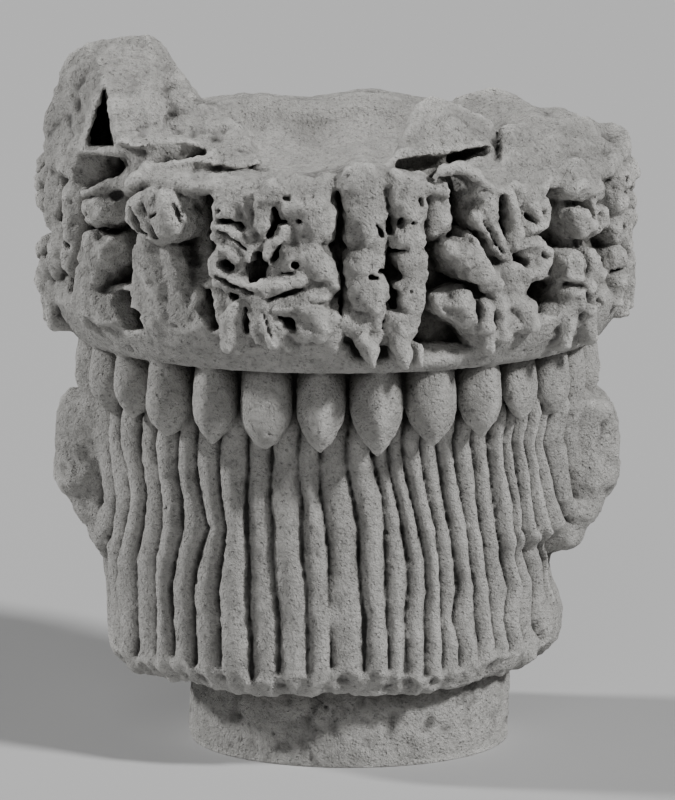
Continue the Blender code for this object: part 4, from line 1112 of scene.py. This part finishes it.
def studio():
    """A wide pale floor, a lamp from each side as in the photograph, and a weak fill."""
    scene = bpy.context.scene
    mesh = bpy.data.meshes.new("floor")
    mesh.from_pydata([(-40.0, -40.0, 0.0), (40.0, -40.0, 0.0), (40.0, 40.0, 0.0), (-40.0, 40.0, 0.0)], [], [(0, 1, 2, 3)])
    mesh.materials.append(plain("pale_floor", (0.44, 0.44, 0.44), 0.9))
    floor = bpy.data.objects.new("floor", mesh)
    scene.collection.objects.link(floor)
    world = bpy.data.worlds.new("studio")
    world.use_nodes = True
    world.node_tree.nodes["Background"].inputs["Color"].default_value = (1.0, 1.0, 1.0, 1.0)
    world.node_tree.nodes["Background"].inputs["Strength"].default_value = 0.13
    # Where each lamp stands: azimuth from the front, height angle; how strong and how soft it is
    for name, azimuth, height, strength, softness in (
        ("right_key", 59.0, 38.0, 4.0, 7.0), ("left_key", -98.0, 29.0, 3.1, 7.0), ("front_fill", -6.0, 32.0, 0.34, 25.0),
    ):
        data = bpy.data.lights.new(name, "SUN")
        data.energy = strength
        data.angle = math.radians(softness)
        turn, lift = math.radians(azimuth), math.radians(height)
        towards = Vector((math.sin(turn) * math.cos(lift), -math.cos(turn) * math.cos(lift), math.sin(lift)))
        lamp = bpy.data.objects.new(name, data)
        lamp.location = towards * 4.0
        lamp.rotation_euler = towards.to_track_quat("Z", "Y").to_euler()
        scene.collection.objects.link(lamp)
    data = bpy.data.cameras.new("camera")
    data.sensor_fit = "VERTICAL"
    data.sensor_height = 36.0
    data.lens = 36.0 * VIEW_DISTANCE / PHOTO_HEIGHT
    camera = bpy.data.objects.new("camera", data)
    camera.location = (0.0, -VIEW_DISTANCE * math.cos(VIEW_LIFT), VIEW_TARGET + VIEW_DISTANCE * math.sin(VIEW_LIFT))
    camera.rotation_euler = (math.pi / 2 - VIEW_LIFT, 0.0, 0.0)
    scene.collection.objects.link(camera)
    scene.camera = camera


def main():
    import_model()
    lay_out()
    frieze()
    hanging_eggs()
    side_leaves()
    breaks()
    points, quads = net()
    rough = as_mesh("rough_skin", points, quads)
    weather(rough)
    mesh = thinned(rough, SKIN_TRIANGLES)
    bpy.data.meshes.remove(rough)
    # These measures of the stone round each point drive the painted shade in the limestone's colour (hollows and
    # sheltered niches darkened); crowding also lightens the edges
    for name, every in (("crowding", 2), ("painted_shade_shelter", 6)):
        attribute = mesh.attributes.new(name, "FLOAT", "POINT")
        attribute.data.foreach_set("value", crowding(vertex_values(mesh, "co"), every).astype(np.float32))
    mesh.shade_smooth()
    skin = bpy.data.objects.new("carved_capital", mesh)
    bpy.context.scene.collection.objects.link(skin)
    mesh.materials.append(limestone())
    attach(skin, "root")
    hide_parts("capital")
    studio()


main()
